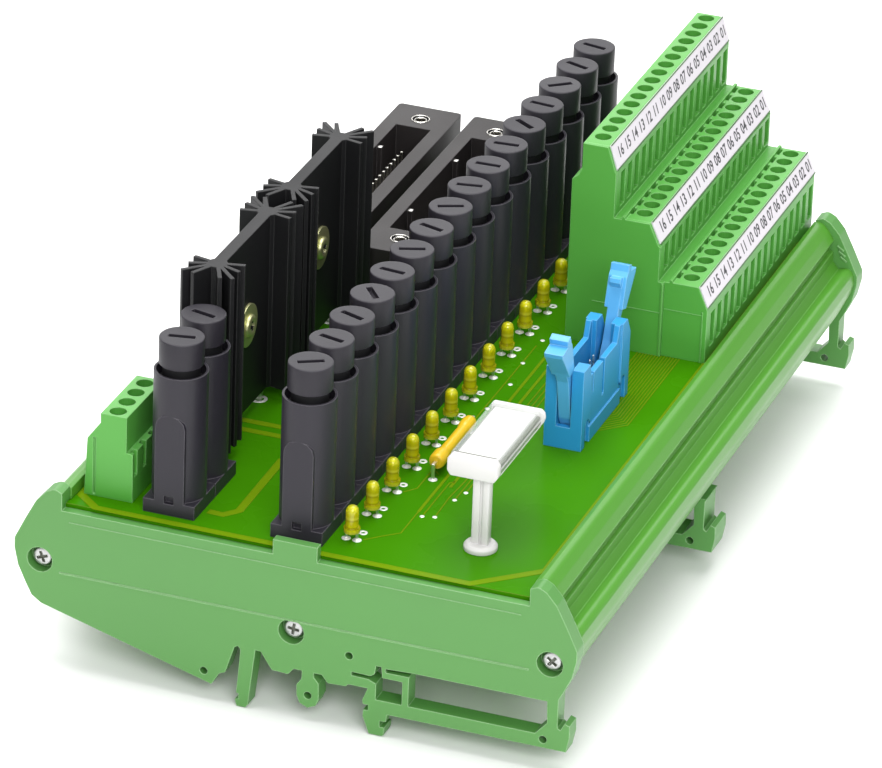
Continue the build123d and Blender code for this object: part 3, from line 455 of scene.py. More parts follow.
def slot_outline(length, width):
    x, y = length / 2, width / 2
    return [(-x, -y), (x, -y), (x, y), (-x, y)]


def cross_outline(reach, half):
    quarter = [(reach, half), (half, half), (half, reach)]
    turns = [Matrix.Rotation(math.radians(90 * i), 2) for i in range(4)]
    return [tuple(turn @ Vector(p)) for turn in turns for p in quarter]

print("lathe ready")

# %% [markdown]
# A place is a point, and a frame is a point with a direction and a turn. Many parts repeat, so their shape
# is made once and poured into one mesh at every place or frame. The same frames say later which faces lie
# in a recess.

# %% Frames and copies
def seat(place):
    """A full frame for a place, or the frame itself where one is given."""
    return place if isinstance(place, Matrix) else Matrix.Translation(place)


def facing(axis, place, spin=0.0):
    """A frame at a place whose upright axis points along axis, turned by spin degrees about it."""
    tilt = Vector((0, 0, 1)).rotation_difference(Vector(axis)).to_matrix().to_4x4()
    return Matrix.Translation(place) @ tilt @ Matrix.Rotation(math.radians(spin), 4, "Z")


def bar(shape, size, place):
    """A box of the given size in mm, centred on a place or a frame."""
    bmesh.ops.create_cube(shape, size=1.0, matrix=seat(place) @ Matrix.Diagonal((*(Vector(size) * MM), 1)))


def pour(shape, mesh, place):
    """Add a mesh to a shape at a place or a frame. Its corners aren't always last, so they are compared."""
    known = set(shape.verts)
    shape.from_mesh(mesh)
    fresh = [v for v in shape.verts if v not in known]
    bmesh.ops.transform(shape, verts=fresh, matrix=seat(place))


def copies(source, places, shape=None):
    """A copy of source at every place or frame, in the given shape or in a new one."""
    if shape is None:
        shape = bmesh.new()
    pattern = bpy.data.meshes.new("pattern")
    source.to_mesh(pattern)
    source.free()
    for place in places:
        pour(shape, pattern, place)
    bpy.data.meshes.remove(pattern)
    return shape


def within(frames, inner, outer, low, high):
    """A test for faces between two radii and two heights, in mm and in any of the frames. An inner radius
    below zero takes in the axis."""
    backs = [frame.inverted() for frame in frames]

    def chosen(middle):
        seen = [back @ middle / MM for back in backs]
        return any(inner < p.xy.length < outer and low < p.z < high for p in seen)

    return chosen


print("frames and copies ready")

# %% [markdown]
# Each fuse cap is a knob with a screwdriver slot. The knob and its neck are turned. The slot could be cut
# with a Boolean, but that can leave slivers at its corners, so the top is filled between the round rim and
# the slot's rectangle, whose edges are then pushed down. Every cap was left at its own angle when its fuse
# was last changed, which is what makes the row look real. What lies below the knob takes a deeper black,
# because the collar shades it.

# %% Fuse caps
CAP_TOP, CAP_BOTTOM, NECK_END, CAP_END = 41.3, 35.0, 31.0, 28.4
CAP_OUTLINE = [(4.4, CAP_TOP), (5.05, CAP_TOP), (5.05, CAP_BOTTOM), (4.2, CAP_BOTTOM), (4.2, NECK_END),
               (5.45, NECK_END), (5.45, CAP_END), (0.0, CAP_END)]
CAP_SLOT, CAP_SLOT_DEPTH, CAP_ROUNDING = (6.0, 1.5), 1.3, 0.2
CAP_ANGLES = [30, -14, -21, -53, -6, 22, -17, 25, 11, 2, 5, -35, -6, 40, -20, -12, 12, -14]
DARK_BELOW = BOARD_TOP + (CAP_BOTTOM - 0.1) * MM

for number, angle in enumerate(CAP_ANGLES, start=1):
    node = f"fuse_cap_{number:02d}"
    low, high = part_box(node)
    shape = topped(CAP_OUTLINE, slot_outline(*CAP_SLOT), CAP_SLOT_DEPTH, rounding=CAP_ROUNDING)
    place = Vector(((low.x + high.x) / 2, (low.y + high.y) / 2, BOARD_TOP))
    bmesh.ops.transform(shape, verts=shape.verts, matrix=facing((0, 0, 1), place, angle))
    cap = keep_piece(f"turned_cap_{number:02d}", shape, "cap_black", body=node)
    # The neck under the knob takes painted shade.
    second_finish(cap, "painted_shade_black", lambda middle: middle.z < DARK_BELOW)
    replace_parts(cap, node)
print("caps:", number, "triangles each about", sum(len(p.vertices) - 2 for p in cap.data.polygons))

# %% [markdown]
# The lamps are cast in yellow epoxy: a flange, a straight body and a dome. The lead frame inside shows
# through as bright and amber bands. Clear plastic alone comes out mottled when it is this small, so the
# body is partly clear and carries bands itself, which are partly the frame seen through it and partly
# painted highlights and painted shade, and a core with stronger bands stands within it. The bands are
# read from the height above the board, which is the same for all sixteen.

# %% Lamps
LAMP_X, FIRST_Y, FUSE_STEP, LAMP_COUNT = 9.1, 11.9, 12.6, 16
LAMP_LOW, LAMP_TOP, CORE_LOW, CORE_TOP = 2.0, 8.4, 2.2, 7.4
LAMP_OUTLINE = [(0.0, LAMP_LOW), (1.85, LAMP_LOW), (1.85, 3.1), (1.5, 3.1), (1.5, 6.9), (1.44, 7.35),
                (1.25, 7.78), (0.95, 8.12), (0.55, 8.33), (0.0, LAMP_TOP)]
CORE_OUTLINE = [(0.0, CORE_LOW), (1.1, CORE_LOW), (1.15, 4.2), (0.95, 4.5), (1.2, 5.2), (1.05, 6.6),
                (0.6, 7.3), (0.0, CORE_TOP)]
CORE_BANDS = [(0.0, (0.66, 0.58, 0.01)), (0.26, (0.97, 0.94, 0.30)), (0.36, (0.36, 0.25, 0.005)),
              (0.50, (0.97, 0.94, 0.28)), (0.62, (0.48, 0.35, 0.005)), (0.90, (0.85, 0.78, 0.03))]
# The shell's bands mix the lead frame seen through it with painted highlights and painted shade.
SHELL_BANDS = [(0.0, (0.80, 0.79, 0.09)), (0.13, (0.78, 0.76, 0.010)), (0.20, (0.42, 0.37, 0.005)),
               (0.28, (0.78, 0.76, 0.010)), (0.42, (0.66, 0.64, 0.006)), (0.48, (0.44, 0.40, 0.004)),
               (0.55, (0.90, 0.89, 0.07)), (0.64, (0.64, 0.62, 0.006)), (0.84, (0.72, 0.71, 0.006)),
               (0.95, (0.86, 0.85, 0.03))]
LAMP_ROUGHNESS, SHELL_CLEARNESS = 0.12, 0.6


def banded(name, low, high, bands, clearness):
    """A material whose colour runs through bands between two heights above the board, in mm."""
    material = plain_material(name, bands[0][1], LAMP_ROUGHNESS)
    tree = material.node_tree
    shader = tree.nodes["Principled BSDF"]
    shader.inputs["Transmission Weight"].default_value = clearness
    place = add(tree, "ShaderNodeTexCoord")
    split = add(tree, "ShaderNodeSeparateXYZ")
    share = add(tree, "ShaderNodeMapRange")
    share.inputs["From Min"].default_value = BOARD_TOP + low * MM
    share.inputs["From Max"].default_value = BOARD_TOP + high * MM
    ramp = add(tree, "ShaderNodeValToRGB")
    stops = ramp.color_ramp.elements
    while len(stops) < len(bands):
        stops.new(0.5)
    for stop, (where, colour) in zip(stops, bands):
        stop.position = where
        stop.color = (*colour, 1.0)
    tree.links.new(place.outputs["Object"], split.inputs[0])
    tree.links.new(split.outputs["Z"], share.inputs["Value"])
    tree.links.new(share.outputs["Result"], ramp.inputs["Fac"])
    tree.links.new(ramp.outputs["Color"], shader.inputs["Base Color"])
    return material


lamp_ys = [FIRST_Y + i * FUSE_STEP for i in range(LAMP_COUNT)]
lamp_places = [spot(LAMP_X, y) for y in lamp_ys]
finishes["lamp_core"] = banded("lamp_core", CORE_LOW, CORE_TOP, CORE_BANDS, 0.0)
finishes["lamp_shell"] = banded("lamp_shell", LAMP_LOW, LAMP_TOP, SHELL_BANDS, SHELL_CLEARNESS)
shells = copies(turned(LAMP_OUTLINE, steps=24), lamp_places)
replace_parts(keep_piece("epoxy_lamps", shells, "lamp_shell"), "status_lamps")
cores = copies(turned(CORE_OUTLINE, steps=16), lamp_places)
keep_piece("lamp_cores", cores, "lamp_core")
print("lamps:", len(lamp_places))

# %% [markdown]
# The film resistor is a dog bone: its end caps swell under the lacquer. It is turned upright, because the
# lathe's axis always is, and then laid down along the board.

# %% Film resistor
RESISTOR_X, RESISTOR_Z, RESISTOR_Y0, RESISTOR_LENGTH = 15.5, 3.6, 47.6, 22.8
RESISTOR_OUTLINE = [(0.0, 0.0), (1.6, 0.0), (1.9, 0.8), (1.9, 3.8), (1.4, 5.4), (1.35, 17.4), (1.7, 18.8),
                    (1.7, 21.8), (1.4, RESISTOR_LENGTH), (0.0, RESISTOR_LENGTH)]
RESISTOR_ROUNDING = 0.35
bone = turned(RESISTOR_OUTLINE, rounding=RESISTOR_ROUNDING, steps=28)
lying = facing((0, 1, 0), spot(RESISTOR_X, RESISTOR_Y0, RESISTOR_Z))
bmesh.ops.transform(bone, verts=bone.verts, matrix=lying)
resistor = keep_piece("lacquered_resistor", bone, "resistor_yellow")
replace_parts(resistor, "film_resistor")

# %% [markdown]
# The label holder stands on a post with a round foot. It is a tray between two end caps. All its edges are
# softened while the shapes are still plain prisms, because a bevel is cleanest on straight sharp edges, and
# the turned foot is added afterwards. Widths are measured from the post's middle.

# %% Label holder
LABEL_X, LABEL_LEFT, LABEL_RIGHT = 36.5, -7.2, 4.5
LABEL_FRONT, LABEL_REAR, LABEL_LOW = 15.4, 45.4, 18.5
FRONT_CAP, REAR_CAP = 2.4, 1.4
FRONT_SHAPE = [(-6.4, LABEL_LOW), (-7.2, 19.7), (-7.2, 22.6), (-6.4, 23.4), (3.6, 23.4), (4.5, 22.2),
               (4.5, 19.7), (3.7, LABEL_LOW)]
REAR_SHAPE = [(-6.6, LABEL_LOW), (-7.3, 19.7), (-7.3, 22.8), (-6.8, 23.2), (4.2, 23.2), (5.0, 22.5),
              (5.2, 21.4), (4.9, 20.2), (4.0, 18.9)]
TRAY_INSET, TRAY_LAP, TRAY_LOW, TRAY_TOP = 0.9, 1.0, LABEL_LOW + 0.6, 21.7
POST_FRONT, GROOVE_Y, POST_REAR, POST_LOW, POST_TOP = 18.1, 18.6, 20.5, 1.2, LABEL_LOW + 1
POST_BARS = [(-1.95, -0.2, POST_FRONT), (0.4, 1.95, POST_FRONT), (-0.3, 0.5, GROOVE_Y)]
FOOT_OUTLINE, FOOT_Y = [(0.0, 1.6), (3.2, 1.6), (3.8, 1.0), (3.8, 0.0), (0.0, 0.0)], 19.3
LABEL_ROUNDING, FOOT_ROUNDING = 0.22, 0.15


def prism(shape, points, y0, y1):
    """A slab with the given outline across the board, between two distances from the front."""
    ring = [shape.verts.new(spot(LABEL_X + x, y0, z)) for x, z in points]
    face = shape.faces.new(ring)
    made = bmesh.ops.extrude_face_region(shape, geom=[face], use_keep_orig=True)["geom"]
    bmesh.ops.translate(shape, verts=corners_of(made), vec=(0, (y1 - y0) * MM, 0))


def upright(shape, x0, x1, y0, y1, z0, z1):
    prism(shape, [(x0, z0), (x0, z1), (x1, z1), (x1, z0)], y0, y1)


label = bmesh.new()
prism(label, FRONT_SHAPE, LABEL_FRONT, LABEL_FRONT + FRONT_CAP)
prism(label, REAR_SHAPE, LABEL_REAR - REAR_CAP, LABEL_REAR)
upright(label, LABEL_LEFT + TRAY_INSET, LABEL_RIGHT - TRAY_INSET, LABEL_FRONT + TRAY_LAP,
        LABEL_REAR - TRAY_LAP, TRAY_LOW, TRAY_TOP)
for x0, x1, y0 in POST_BARS:
    upright(label, x0, x1, y0, POST_REAR, POST_LOW, POST_TOP)
bmesh.ops.bevel(label, geom=label.edges[:], offset=LABEL_ROUNDING * MM, offset_type="OFFSET", segments=2,
                profile=0.5, affect="EDGES", clamp_overlap=True)
copies(turned(FOOT_OUTLINE, rounding=FOOT_ROUNDING), [spot(LABEL_X, FOOT_Y)], shape=label)
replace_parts(keep_piece("softened_label_holder", label, "label_white"), "label_holder")
solid_middle = sum(v.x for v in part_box("label_holder")) / 2 / MM - (LABEL_LEFT + LABEL_RIGHT) / 2
print("label post at", round(solid_middle, 2), "in the solids and at", LABEL_X, "here")

# %% [markdown]
# A card lies in the tray under a clear cover. Its painted shadow lines and the channel beside it, dark with
# painted shade, are thin strips, which the clear cover lets through, and two pale strips on the cover's wall
# are painted glints that run along it. An image could carry such fine lines, but strips stay sharp however
# close the camera comes. The dark ones are the card's painted shadow and the painted shade of the line
# behind the front cap, the channel and a line on the cover. Each strip is given by its left, right, front,
# rear, low and high side.

# %% Label card and its lines
CARD_LEFT, CARD_RIGHT, CARD_LOW, CARD_HIGH = -6.3, 3.1, 21.6, 22.15
CARD_FRONT, CARD_REAR = LABEL_FRONT + FRONT_CAP, LABEL_REAR - REAR_CAP
COVER_FACE, LINE_DEPTH = LABEL_RIGHT - 0.1, 0.06
GLINT_DEPTH, GLINT_HEIGHT, GLINT_LOWS = 0.07, 0.35, (20.9, 19.5)
SHADOWS = [
    (CARD_LEFT - 0.32, CARD_LEFT, CARD_FRONT, CARD_REAR, CARD_LOW, CARD_HIGH + 0.05),
    (CARD_LEFT + 0.2, CARD_RIGHT + 0.3, CARD_FRONT - 0.18, CARD_FRONT + 0.06, 23.2, 23.46),
    (CARD_RIGHT, LABEL_RIGHT - 0.35, CARD_FRONT, CARD_REAR, CARD_LOW - 0.6, CARD_LOW + 0.2),
    (COVER_FACE, COVER_FACE + LINE_DEPTH, CARD_FRONT, CARD_REAR, 20.3, 20.5),
]
GLINTS = [(COVER_FACE, COVER_FACE + GLINT_DEPTH, CARD_FRONT, CARD_REAR, z, z + GLINT_HEIGHT)
          for z in GLINT_LOWS]
shadow_strips, card, glints = bmesh.new(), bmesh.new(), bmesh.new()
for strip in SHADOWS:
    upright(shadow_strips, *strip)
keep_piece("label_shadow_strips", shadow_strips, "painted_shadow_grey")
upright(card, CARD_LEFT, CARD_RIGHT, CARD_FRONT, CARD_REAR, CARD_LOW, CARD_HIGH)
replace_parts(keep_piece("label_insert", card, "label_white"), "label_card")
for strip in GLINTS:
    upright(glints, *strip)
keep_piece("cover_glints", glints, "label_white")
print("strips:", len(SHADOWS), "shadow lines and", len(GLINTS), "glints")

# %% [markdown]
# Screws are small fasteners, so the engineering model leaves their heads plain. A pan head is turned, and
# the cross of its drive is sunk into the top as the slots of the caps are. The faces within the cross take
# a darker finish, because little light reaches them. They are picked by how far they lie from the screw's
# axis and above its seat.

# %% End plate screws
MODULE_LENGTH, SCREW_SEAT = 211.5, 3.0
SCREW_PLACES = [(-60.0, -14.1), (60.0, -14.1), (0.0, -19.2)]
FRONT_TURNS, REAR_TURNS = (20, 51, 82), (50, 73, 96)
PAN_HEAD = [(1.75, 1.6), (2.1, 1.45), (2.3, 1.1), (2.35, 0.6), (2.35, 0.0), (1.4, 0.0), (1.4, -9.0),
            (0.0, -9.0)]
PLATE_CROSS, PLATE_CROSS_DEPTH, IN_PLATE_CROSS = (1.35, 0.32), 0.8, (-1, 1.3, 0.3, 1.4)
screw_frames = [facing((0, -1, 0), spot(x, SCREW_SEAT, z), turn)
                for (x, z), turn in zip(SCREW_PLACES, FRONT_TURNS)]
screw_frames += [facing((0, 1, 0), spot(x, MODULE_LENGTH - SCREW_SEAT, z), turn)
                 for (x, z), turn in zip(SCREW_PLACES, REAR_TURNS)]
pan_screw = topped(PAN_HEAD, cross_outline(*PLATE_CROSS), PLATE_CROSS_DEPTH)
plate_screws = keep_piece("pan_head_screws", copies(pan_screw, screw_frames), "steel")
# The faces within the cross take painted shade.
second_finish(plate_screws, "painted_shadow_grey", within(screw_frames, *IN_PLATE_CROSS))
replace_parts(plate_screws, "end_plate_screws")
print("end plate screws:", len(screw_frames))

# %% [markdown]
# The two screws that hold the power semiconductors to the heatsinks have low domed heads of yellow zinc.
# Their washers stay as they are in the engineering model and only take the same finish.

# %% Heatsink screws
SINK_FACE, SINK_SCREW_Z, SINK_YS, SINK_TURN = -32.8, 24.65, (55.05, 100.15), 35
DOME_HEAD = [(1.35, 0.8), (1.9, 0.95), (2.45, 0.75), (2.7, 0.35), (2.7, 0.0), (1.2, 0.0), (1.2, -6.3),
             (0.0, -6.3)]
SINK_CROSS, SINK_CROSS_DEPTH, IN_SINK_CROSS = (1.2, 0.5), 0.6, (-1, 1.2, 0.1, 0.7)
dome_frames = [facing((1, 0, 0), spot(SINK_FACE, y, SINK_SCREW_Z), SINK_TURN * i)
               for i, y in enumerate(SINK_YS)]
dome_screw = topped(DOME_HEAD, cross_outline(*SINK_CROSS), SINK_CROSS_DEPTH, steps=32)
sink_screws = keep_piece("heatsink_dome_screws", copies(dome_screw, dome_frames), "yellow_zinc")
# The faces within the cross take painted shade.
second_finish(sink_screws, "painted_shade_black", within(dome_frames, *IN_SINK_CROSS))
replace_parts(sink_screws, "heatsink_screws")
nodes["heatsink_washers"].data.materials[0] = finishes["yellow_zinc"]
print("heatsink screws:", len(dome_frames))

# %% [markdown]
# A slotted clamp screw sits at the bottom of every terminal well, where only its head is seen down the
# hole. The engineering model leaves these screws out. There are 52 of them, so each has few sides, and each
# stands at another angle.

# %% Clamp screws
WELL_FLOOR, CLAMP_TURN = 5.45, 37
POLE_COUNT, FIRST_POLE_Y, POLE_STEP = 16, 131.9, 5.08
TIER_WELLS = [(23.9, 50.4), (34.9, 33.1), (47.1, 19.0)]
SUPPLY_WELL_X, SUPPLY_WELL_Y, SUPPLY_WELL_TOP, SUPPLY_COUNT = -46.1, 10.74, 20.6, 4
CLAMP_HEAD = [(1.6, 1.2), (1.8, 1.05), (1.8, 0.0), (0.0, 0.0)]
CLAMP_SLOT, CLAMP_SLOT_DEPTH = (2.9, 0.6), 0.7
wells = [(x, FIRST_POLE_Y + i * POLE_STEP, top) for x, top in TIER_WELLS for i in range(POLE_COUNT)]
wells += [(SUPPLY_WELL_X, SUPPLY_WELL_Y + i * POLE_STEP, SUPPLY_WELL_TOP) for i in range(SUPPLY_COUNT)]
clamp_frames = [facing((0, 0, 1), spot(x, y, top - WELL_FLOOR), (CLAMP_TURN * i) % 180)
                for i, (x, y, top) in enumerate(wells)]
clamp_screw = topped(CLAMP_HEAD, slot_outline(*CLAMP_SLOT), CLAMP_SLOT_DEPTH, steps=16)
keep_piece("clamp_screws", copies(clamp_screw, clamp_frames), "steel")
print("clamp screws:", len(clamp_frames))

# %% [markdown]
# Each threaded insert of the black connectors is a bright sleeve in a counterbore: a thin outer rim, a dark
# annular gap and the sleeve's own mouth. The outline is closed before it is spun, and the faces in the gap
# take a near-black painted shade, darker than the housing. The coding ribs end in a small bright face,
# which is a thin metal plate on each of them that stands for the highlight on their tops: a painted
# highlight.

# %% Connector inserts
CONNECTOR_XS, INSERT_YS = (-44.85, -25.25), (132.65, 199.45)
SLEEVE = [(2.3, 7.5), (2.3, 14.66), (2.15, 14.74), (2.0, 14.6), (2.0, 13.3), (1.6, 13.3), (1.58, 14.3),
          (1.45, 14.5), (1.32, 14.3), (1.3, 7.5)]
IN_GAP = (1.59, 2.05, 0, 14.2)
insert_frames = [seat(spot(x, y)) for x in CONNECTOR_XS for y in INSERT_YS]
sleeves = copies(turned(SLEEVE, steps=36, closed=True), insert_frames)
inserts = keep_piece("insert_sleeves", sleeves, "brass_insert")
# The faces in the gap take painted shade.
second_finish(inserts, "painted_shade_black", within(insert_frames, *IN_GAP))
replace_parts(inserts, "connector_screw_inserts")

KEY_OFFSET, KEY_STEP, KEY_TOP, KEY_SIZE = -3.9, 31.4, 13.7, (1.1, 1.1, 0.24)
# Bright metal plates stand for the highlight on the rib tops: a painted highlight.
key_glint_plates = bmesh.new()
for x in CONNECTOR_XS:
    for side in (-0.5, 0.5):
        bar(key_glint_plates, KEY_SIZE, spot(x + KEY_OFFSET, sum(INSERT_YS) / 2 + side * KEY_STEP, KEY_TOP))
keep_piece("key_glint_plates", key_glint_plates, "tinned_metal")
print("inserts:", len(insert_frames))

# %% [markdown]
# The header's square pins end in blunt pyramids. Each could be a bar with a pyramid set on it, but a bar
# whose top face is carried up and drawn in stays one closed body.

# %% Header pins
HEADER_MID_X, HEADER_MID_Y, PIN_PITCH, PIN_ROWS = 36.8, 88.8, 2.54, 7
PIN_WIDTH, PIN_LOW, PIN_SHOULDER, PIN_TIP, TIP_SHARE = 0.64, 3.2, 11.9, 12.5, 0.45
pin = bmesh.new()
bar(pin, (PIN_WIDTH, PIN_WIDTH, PIN_SHOULDER - PIN_LOW), (0, 0, (PIN_LOW + PIN_SHOULDER) / 2 * MM))
top = max(pin.faces, key=lambda face: face.calc_center_median().z)
tip = corners_of(bmesh.ops.extrude_face_region(pin, geom=[top])["geom"])
bmesh.ops.delete(pin, geom=[top], context="FACES_ONLY")
bmesh.ops.scale(pin, verts=tip, vec=(TIP_SHARE, TIP_SHARE, 1.0))
bmesh.ops.translate(pin, verts=tip, vec=(0, 0, (PIN_TIP - PIN_SHOULDER) * MM))
pin_places = [spot(HEADER_MID_X + side * PIN_PITCH / 2, HEADER_MID_Y + (i - (PIN_ROWS - 1) / 2) * PIN_PITCH)
              for i in range(PIN_ROWS) for side in (-1, 1)]
header_pins = keep_piece("pointed_header_pins", copies(pin, pin_places), "contact_gold")
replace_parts(header_pins, "ribbon_header_pins")
print("header pins:", len(pin_places))

# %% [markdown]
# Mould lines and small ridges are what tells moulded plastic from cut plastic: the line across each end
# plate, the one under its top edge, the seam round the foot of the terminal block, the lip on its corner,
# and three gripping ribs inside each shoulder of the end plates. A bump pattern could draw them, but it
# would have to be fitted to each face, so they are thin bars that stand a little out of it.

# %% Mould lines and ribs
PLATE_LINES = [(-16.4, 110.4, 0.36), (-3.4, 106.0, 0.22)]
LINE_Y, LINE_WIDTH = 0.08, 0.36
RIB_X, RIB_Y, RIB_Z, RIB_COUNT = 61.5, 4.6, -2.9, 3
RIB_STEP_X, RIB_STEP_Z, RIB_LEAN, RIB_SIZE = 0.45, -1.35, 35, (2.0, 0.45, 0.7)
BLOCK_LINES = [
    ((17.0, 0.24, 0.2), (33.3, 126.5, 11.1)),
    ((9.4, 0.24, 0.2), (46.9, 127.2, 12.05)),
    ((0.35, 0.5, 13.0), (51.6, 127.2, 6.5)),
    ((0.5, 0.5, 18.6), (41.7, 126.5, 9.4)),
]
plate_lines = bmesh.new()
for z, length, thick in PLATE_LINES:
    for y in (LINE_Y, MODULE_LENGTH - LINE_Y):
        bar(plate_lines, (length, LINE_WIDTH, thick), spot(0, y, z))
for side in (-1, 1):
    for y in (RIB_Y, MODULE_LENGTH - RIB_Y):
        for i in range(RIB_COUNT):
            place = spot(side * (RIB_X + RIB_STEP_X * i), y, RIB_Z + RIB_STEP_Z * i)
            bar(plate_lines, RIB_SIZE, facing((0, 1, 0), place, side * RIB_LEAN))
keep_piece("plate_mould_lines", plate_lines, "plate_green")

block_lines = bmesh.new()
for size, place in BLOCK_LINES:
    bar(block_lines, size, spot(*place))
keep_piece("block_mould_lines", block_lines, "terminal_green")
print("mould lines:", 2 * len(PLATE_LINES) + len(BLOCK_LINES), "ribs:", 4 * RIB_COUNT)

# %% [markdown]
# Copper tracks lie under the green lacquer and show as olive lines, a little raised. An image of them would
# blur up close, so each track is a shape, a flat ribbon with mitred bends: its left edge is drawn as a
# wire, an edge extrusion carries it across to the right edge, and the strip is then raised by the copper's
# thickness. The routes follow the photograph: a wide one round the edge, one from the power side to the
# fuses, single lines from the lamps, and the fan that joins the header to the tiered terminals.

# %% Copper tracks
TRACK_HEIGHT = 0.05
WIDE, MIDDLE, THIN = 2.0, 0.75, 0.35
WIDE_ROUTES = [
    [(-53.2, 30), (-53.2, 7.4), (-48.0, 2.9), (40.0, 2.9), (53.2, 15.2), (53.2, 200)],
    [(-24.6, 11.4), (-21.0, 11.2), (-18.4, 14.4), (-18.8, 41.0), (-14.0, 46.0)],
    [(-36.0, 52.0), (-12.0, 52.0)],
    [(-36.0, 56.4), (-12.0, 56.4)],
]
MIDDLE_ROUTES = [[(18.0, 30.0), (17.8, 122.0)], [(20.4, 44.0), (20.4, 122.0)]]
THIN_ROUTES = [
    [(11.6, 12.6), (14.4, 15.6), (18.0, 19.0), (18.0, 30.0)],
    [(11.6, 37.7), (13.8, 40.6), (13.9, 120.0)],
    [(19.5, 28.3), (19.5, 46.0), (20.4, 47.0)],
    [(22.2, 29.1), (21.9, 39.4), (22.4, 48.0), (22.4, 122.0)],
    [(23.4, 38.6), (23.6, 122.0)],
    [(24.5, 42.9), (24.8, 122.0)],
    [(15.8, 49.0), (12.4, 52.6), (11.8, 61.0)],
]
FAN_LINES, FAN_STEP, FAN_TURN_STEP = 15, 0.72, 0.7
FAN_RIGHT, FAN_LEFT_END, FAN_TURN_Y, FAN_END_Y = 46.7, 41.0, 89.6, 127.0


def mitre_offsets(points, width):
    """The sideways step at each point that keeps the track's width through its bends."""
    line = [Vector(p) for p in points]
    runs = [(b - a).normalized() for a, b in zip(line, line[1:])]
    sides = [Vector((-run.y, run.x)) for run in runs]
    before, after = sides[:1] + sides, sides + sides[-1:]
    return [(a + b) / (1.0 + a.dot(b)) * width / 2 for a, b in zip(before, after)]


def track(shape, points, width):
    steps = mitre_offsets(points, width)
    wire = [shape.verts.new(spot(x + step.x, y + step.y)) for (x, y), step in zip(points, steps)]
    edges = [shape.edges.new(pair) for pair in zip(wire, wire[1:])]
    made = bmesh.ops.extrude_edge_only(shape, edges=edges)["geom"]
    for vert in corners_of(made):
        nearest = min(range(len(wire)), key=lambda i: (wire[i].co - vert.co).length)
        vert.co = spot(points[nearest][0] - steps[nearest].x, points[nearest][1] - steps[nearest].y)
    strip = [g for g in made if isinstance(g, bmesh.types.BMFace)]
    raised = bmesh.ops.extrude_face_region(shape, geom=strip, use_keep_orig=True)["geom"]
    bmesh.ops.translate(shape, verts=corners_of(raised), vec=(0, 0, TRACK_HEIGHT * MM))


def fan_route(i):
    x, turn_y = FAN_RIGHT - i * FAN_STEP, FAN_TURN_Y + FAN_TURN_STEP * i
    start_x = min(FAN_LEFT_END, x)
    return [(start_x, turn_y - (x - start_x)), (x, turn_y), (x, FAN_END_Y)]


fan_routes = [fan_route(i) for i in range(FAN_LINES)]
tracks = bmesh.new()
for routes, width in ((WIDE_ROUTES, WIDE), (MIDDLE_ROUTES, MIDDLE), (THIN_ROUTES + fan_routes, THIN)):
    for route in routes:
        track(tracks, route, width)
finishes["copper_track"] = moulded("copper_track", (0.125, 0.225, 0.003), (0.34, 0.40, 0.03), 0.3,
                                   (1400.0, 0.02), 0.24, 0.25, LACQUER)
keep_piece("copper_tracks", tracks, "copper_track")
print("tracks:", len(WIDE_ROUTES) + len(MIDDLE_ROUTES) + len(THIN_ROUTES) + len(fan_routes))

# %% [markdown]
# Where a lead or a plated hole comes through, the lacquer leaves a bright ring of solder. A ring could be a
# torus, but a low tube turned on the lathe lies flatter. Joints and filled vias are small domes.

# %% Solder rings
RING_OUTLINE = [(0.42, -0.1), (0.42, 0.07), (0.98, 0.1), (1.05, -0.1)]
PIN_RING_OUTLINE = [(1.15, -0.1), (1.2, 0.14), (1.6, 0.22), (1.95, 0.1), (2.0, -0.1)]
JOINT_OUTLINE = [(0.0, 0.55), (0.35, 0.5), (0.6, 0.2), (1.05, 0.08), (1.05, -0.1)]
DOT_OUTLINE = [(0.0, 0.12), (0.5, 0.1), (0.62, -0.1)]
LEAD_HALF, RING_BEHIND, RESISTOR_LEAD = 1.27, 3.8, 1.6
SINK_PIN_X, SINK_PIN_YS = -34.85, (67.75, 42.35, 87.45, 112.85)
VIAS = [(19.5, 28.3), (22.2, 29.1), (23.4, 38.6), (24.5, 42.9), (14.3, 123.2), (14.1, 110.0), (15.2, 98.3),
        (14.6, 84.4), (14.8, 72.2)]

resistor_ys = [RESISTOR_Y0 - RESISTOR_LEAD, RESISTOR_Y0 + RESISTOR_LENGTH + RESISTOR_LEAD]
rings = [spot(LAMP_X + LEAD_HALF, y + RING_BEHIND) for y in lamp_ys]
pin_rings = [spot(SINK_PIN_X, y) for y in SINK_PIN_YS]
joints = [spot(LAMP_X + side * LEAD_HALF, y) for y in lamp_ys for side in (-1, 1)]
joints += [spot(RESISTOR_X, y) for y in resistor_ys]
dots = [spot(x, y) for x, y in VIAS]
for name, outline, steps, places in (("solder_rings", RING_OUTLINE, 20, rings),
                                     ("pin_rings", PIN_RING_OUTLINE, 28, pin_rings),
                                     ("solder_joints", JOINT_OUTLINE, 20, joints),
                                     ("filled_vias", DOT_OUTLINE, 14, dots)):
    keep_piece(name, copies(turned(outline, steps=steps), places), "solder")
print("solder places:", len(rings) + len(pin_rings) + len(joints) + len(dots))

# %% [markdown]
# The marker strips carry plain pole numbers, counted down from the front. An image could hold them, but a
# text curve that is made a mesh stays sharp and needs no file. Each number is laid on the slope of its tier
# with its baseline on the low side, and all of them are kept as one piece. A thin dark bar along either edge
# of a strip is the painted shadow where it sits in its groove.

# %% Pole numbers
STRIPS = [((27.0, 50.4), (28.9, 44.6)), ((37.9, 33.1), (40.2, 28.0)), ((50.3, 19.0), (52.5, 14.0))]
STRIP_FACE, STRIP_START, STRIP_END = 0.42, 127.5, 210.6
SHADOW_BAR_WIDTH, SHADOW_BAR_THICK = 0.34, 0.1
NUMBER_SIZE, NUMBER_WEIGHT = 3.8, 0.07


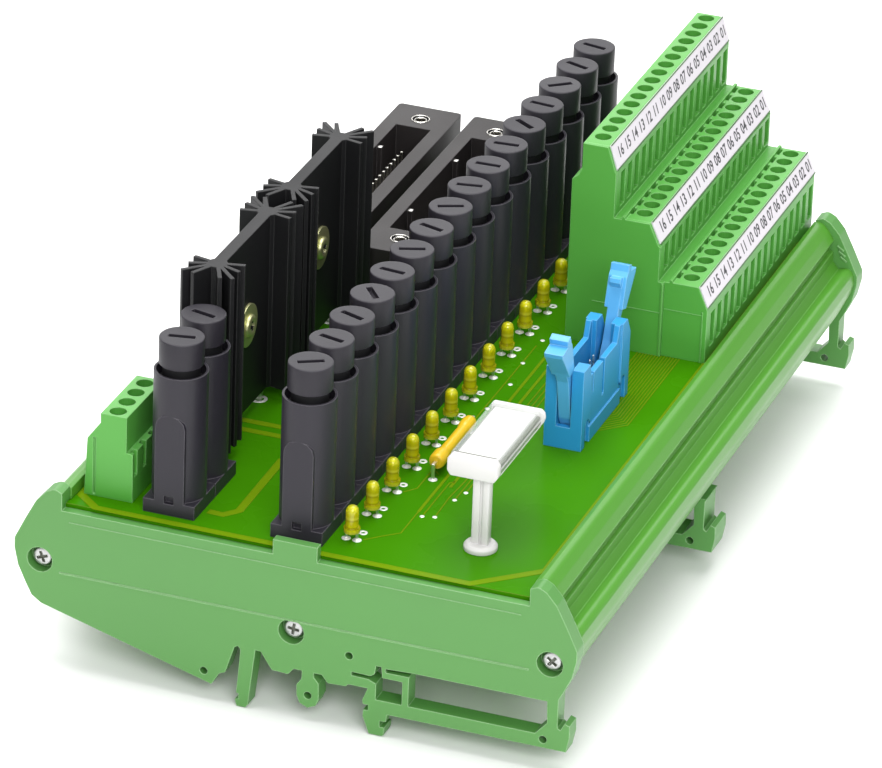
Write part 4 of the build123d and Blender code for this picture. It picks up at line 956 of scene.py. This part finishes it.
def number_mesh(text):
    curve = bpy.data.curves.new("number", "FONT")
    curve.body = text
    curve.size = NUMBER_SIZE * MM
    curve.align_x = "CENTER"
    curve.align_y = "CENTER"
    curve.offset = NUMBER_WEIGHT * MM
    curve.resolution_u = 2
    writer = bpy.data.objects.new("number", curve)
    bpy.context.scene.collection.objects.link(writer)
    mesh = bpy.data.meshes.new_from_object(writer)
    bpy.data.objects.remove(writer)
    bpy.data.curves.remove(curve)
    return mesh


numbers = bmesh.new()
shadow_bars = bmesh.new()
for (top_x, top_z), (low_x, low_z) in STRIPS:
    up = Vector((top_x - low_x, 0.0, top_z - low_z)).normalized()
    along = Vector((0.0, 1.0, 0.0))
    out = along.cross(up)
    slope = Matrix((along, up, out)).transposed().to_4x4()
    for x, z in ((top_x, top_z), (low_x, low_z)):
        edge = spot(x, (STRIP_START + STRIP_END) / 2, z) + out * STRIP_FACE * MM
        bar(shadow_bars, (STRIP_END - STRIP_START, SHADOW_BAR_WIDTH, SHADOW_BAR_THICK), Matrix.Translation(edge) @ slope)
    for i in range(POLE_COUNT):
        mesh = number_mesh(f"{POLE_COUNT - i:02d}")
        middle = spot((top_x + low_x) / 2, FIRST_POLE_Y + i * POLE_STEP, (top_z + low_z) / 2)
        pour(numbers, mesh, Matrix.Translation(middle + out * STRIP_FACE * MM) @ slope)
        bpy.data.meshes.remove(mesh)
finishes["print_ink"] = moulded("print_ink", (0.03, 0.03, 0.035), (0.05, 0.05, 0.05), 0.1, (900.0, 0.02),
                                0.5, 0.1, PLAIN)
keep_piece("pole_numbers", numbers, "print_ink")
# A dark green for the painted shadow along the strips' edges.
finishes["strip_painted_shadow"] = moulded("strip_painted_shadow", (0.05, 0.14, 0.035), (0.1, 0.25, 0.08), 0.2, (900.0, 0.05),
                                 0.5, 0.12, PLAIN)
keep_piece("strip_shadow_lines", shadow_bars, "strip_painted_shadow")
print("numbers on", len(STRIPS), "strips")

# %% [markdown]
# The bounds of everything shown, without the floor, are measured.

# %% Finish
low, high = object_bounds()
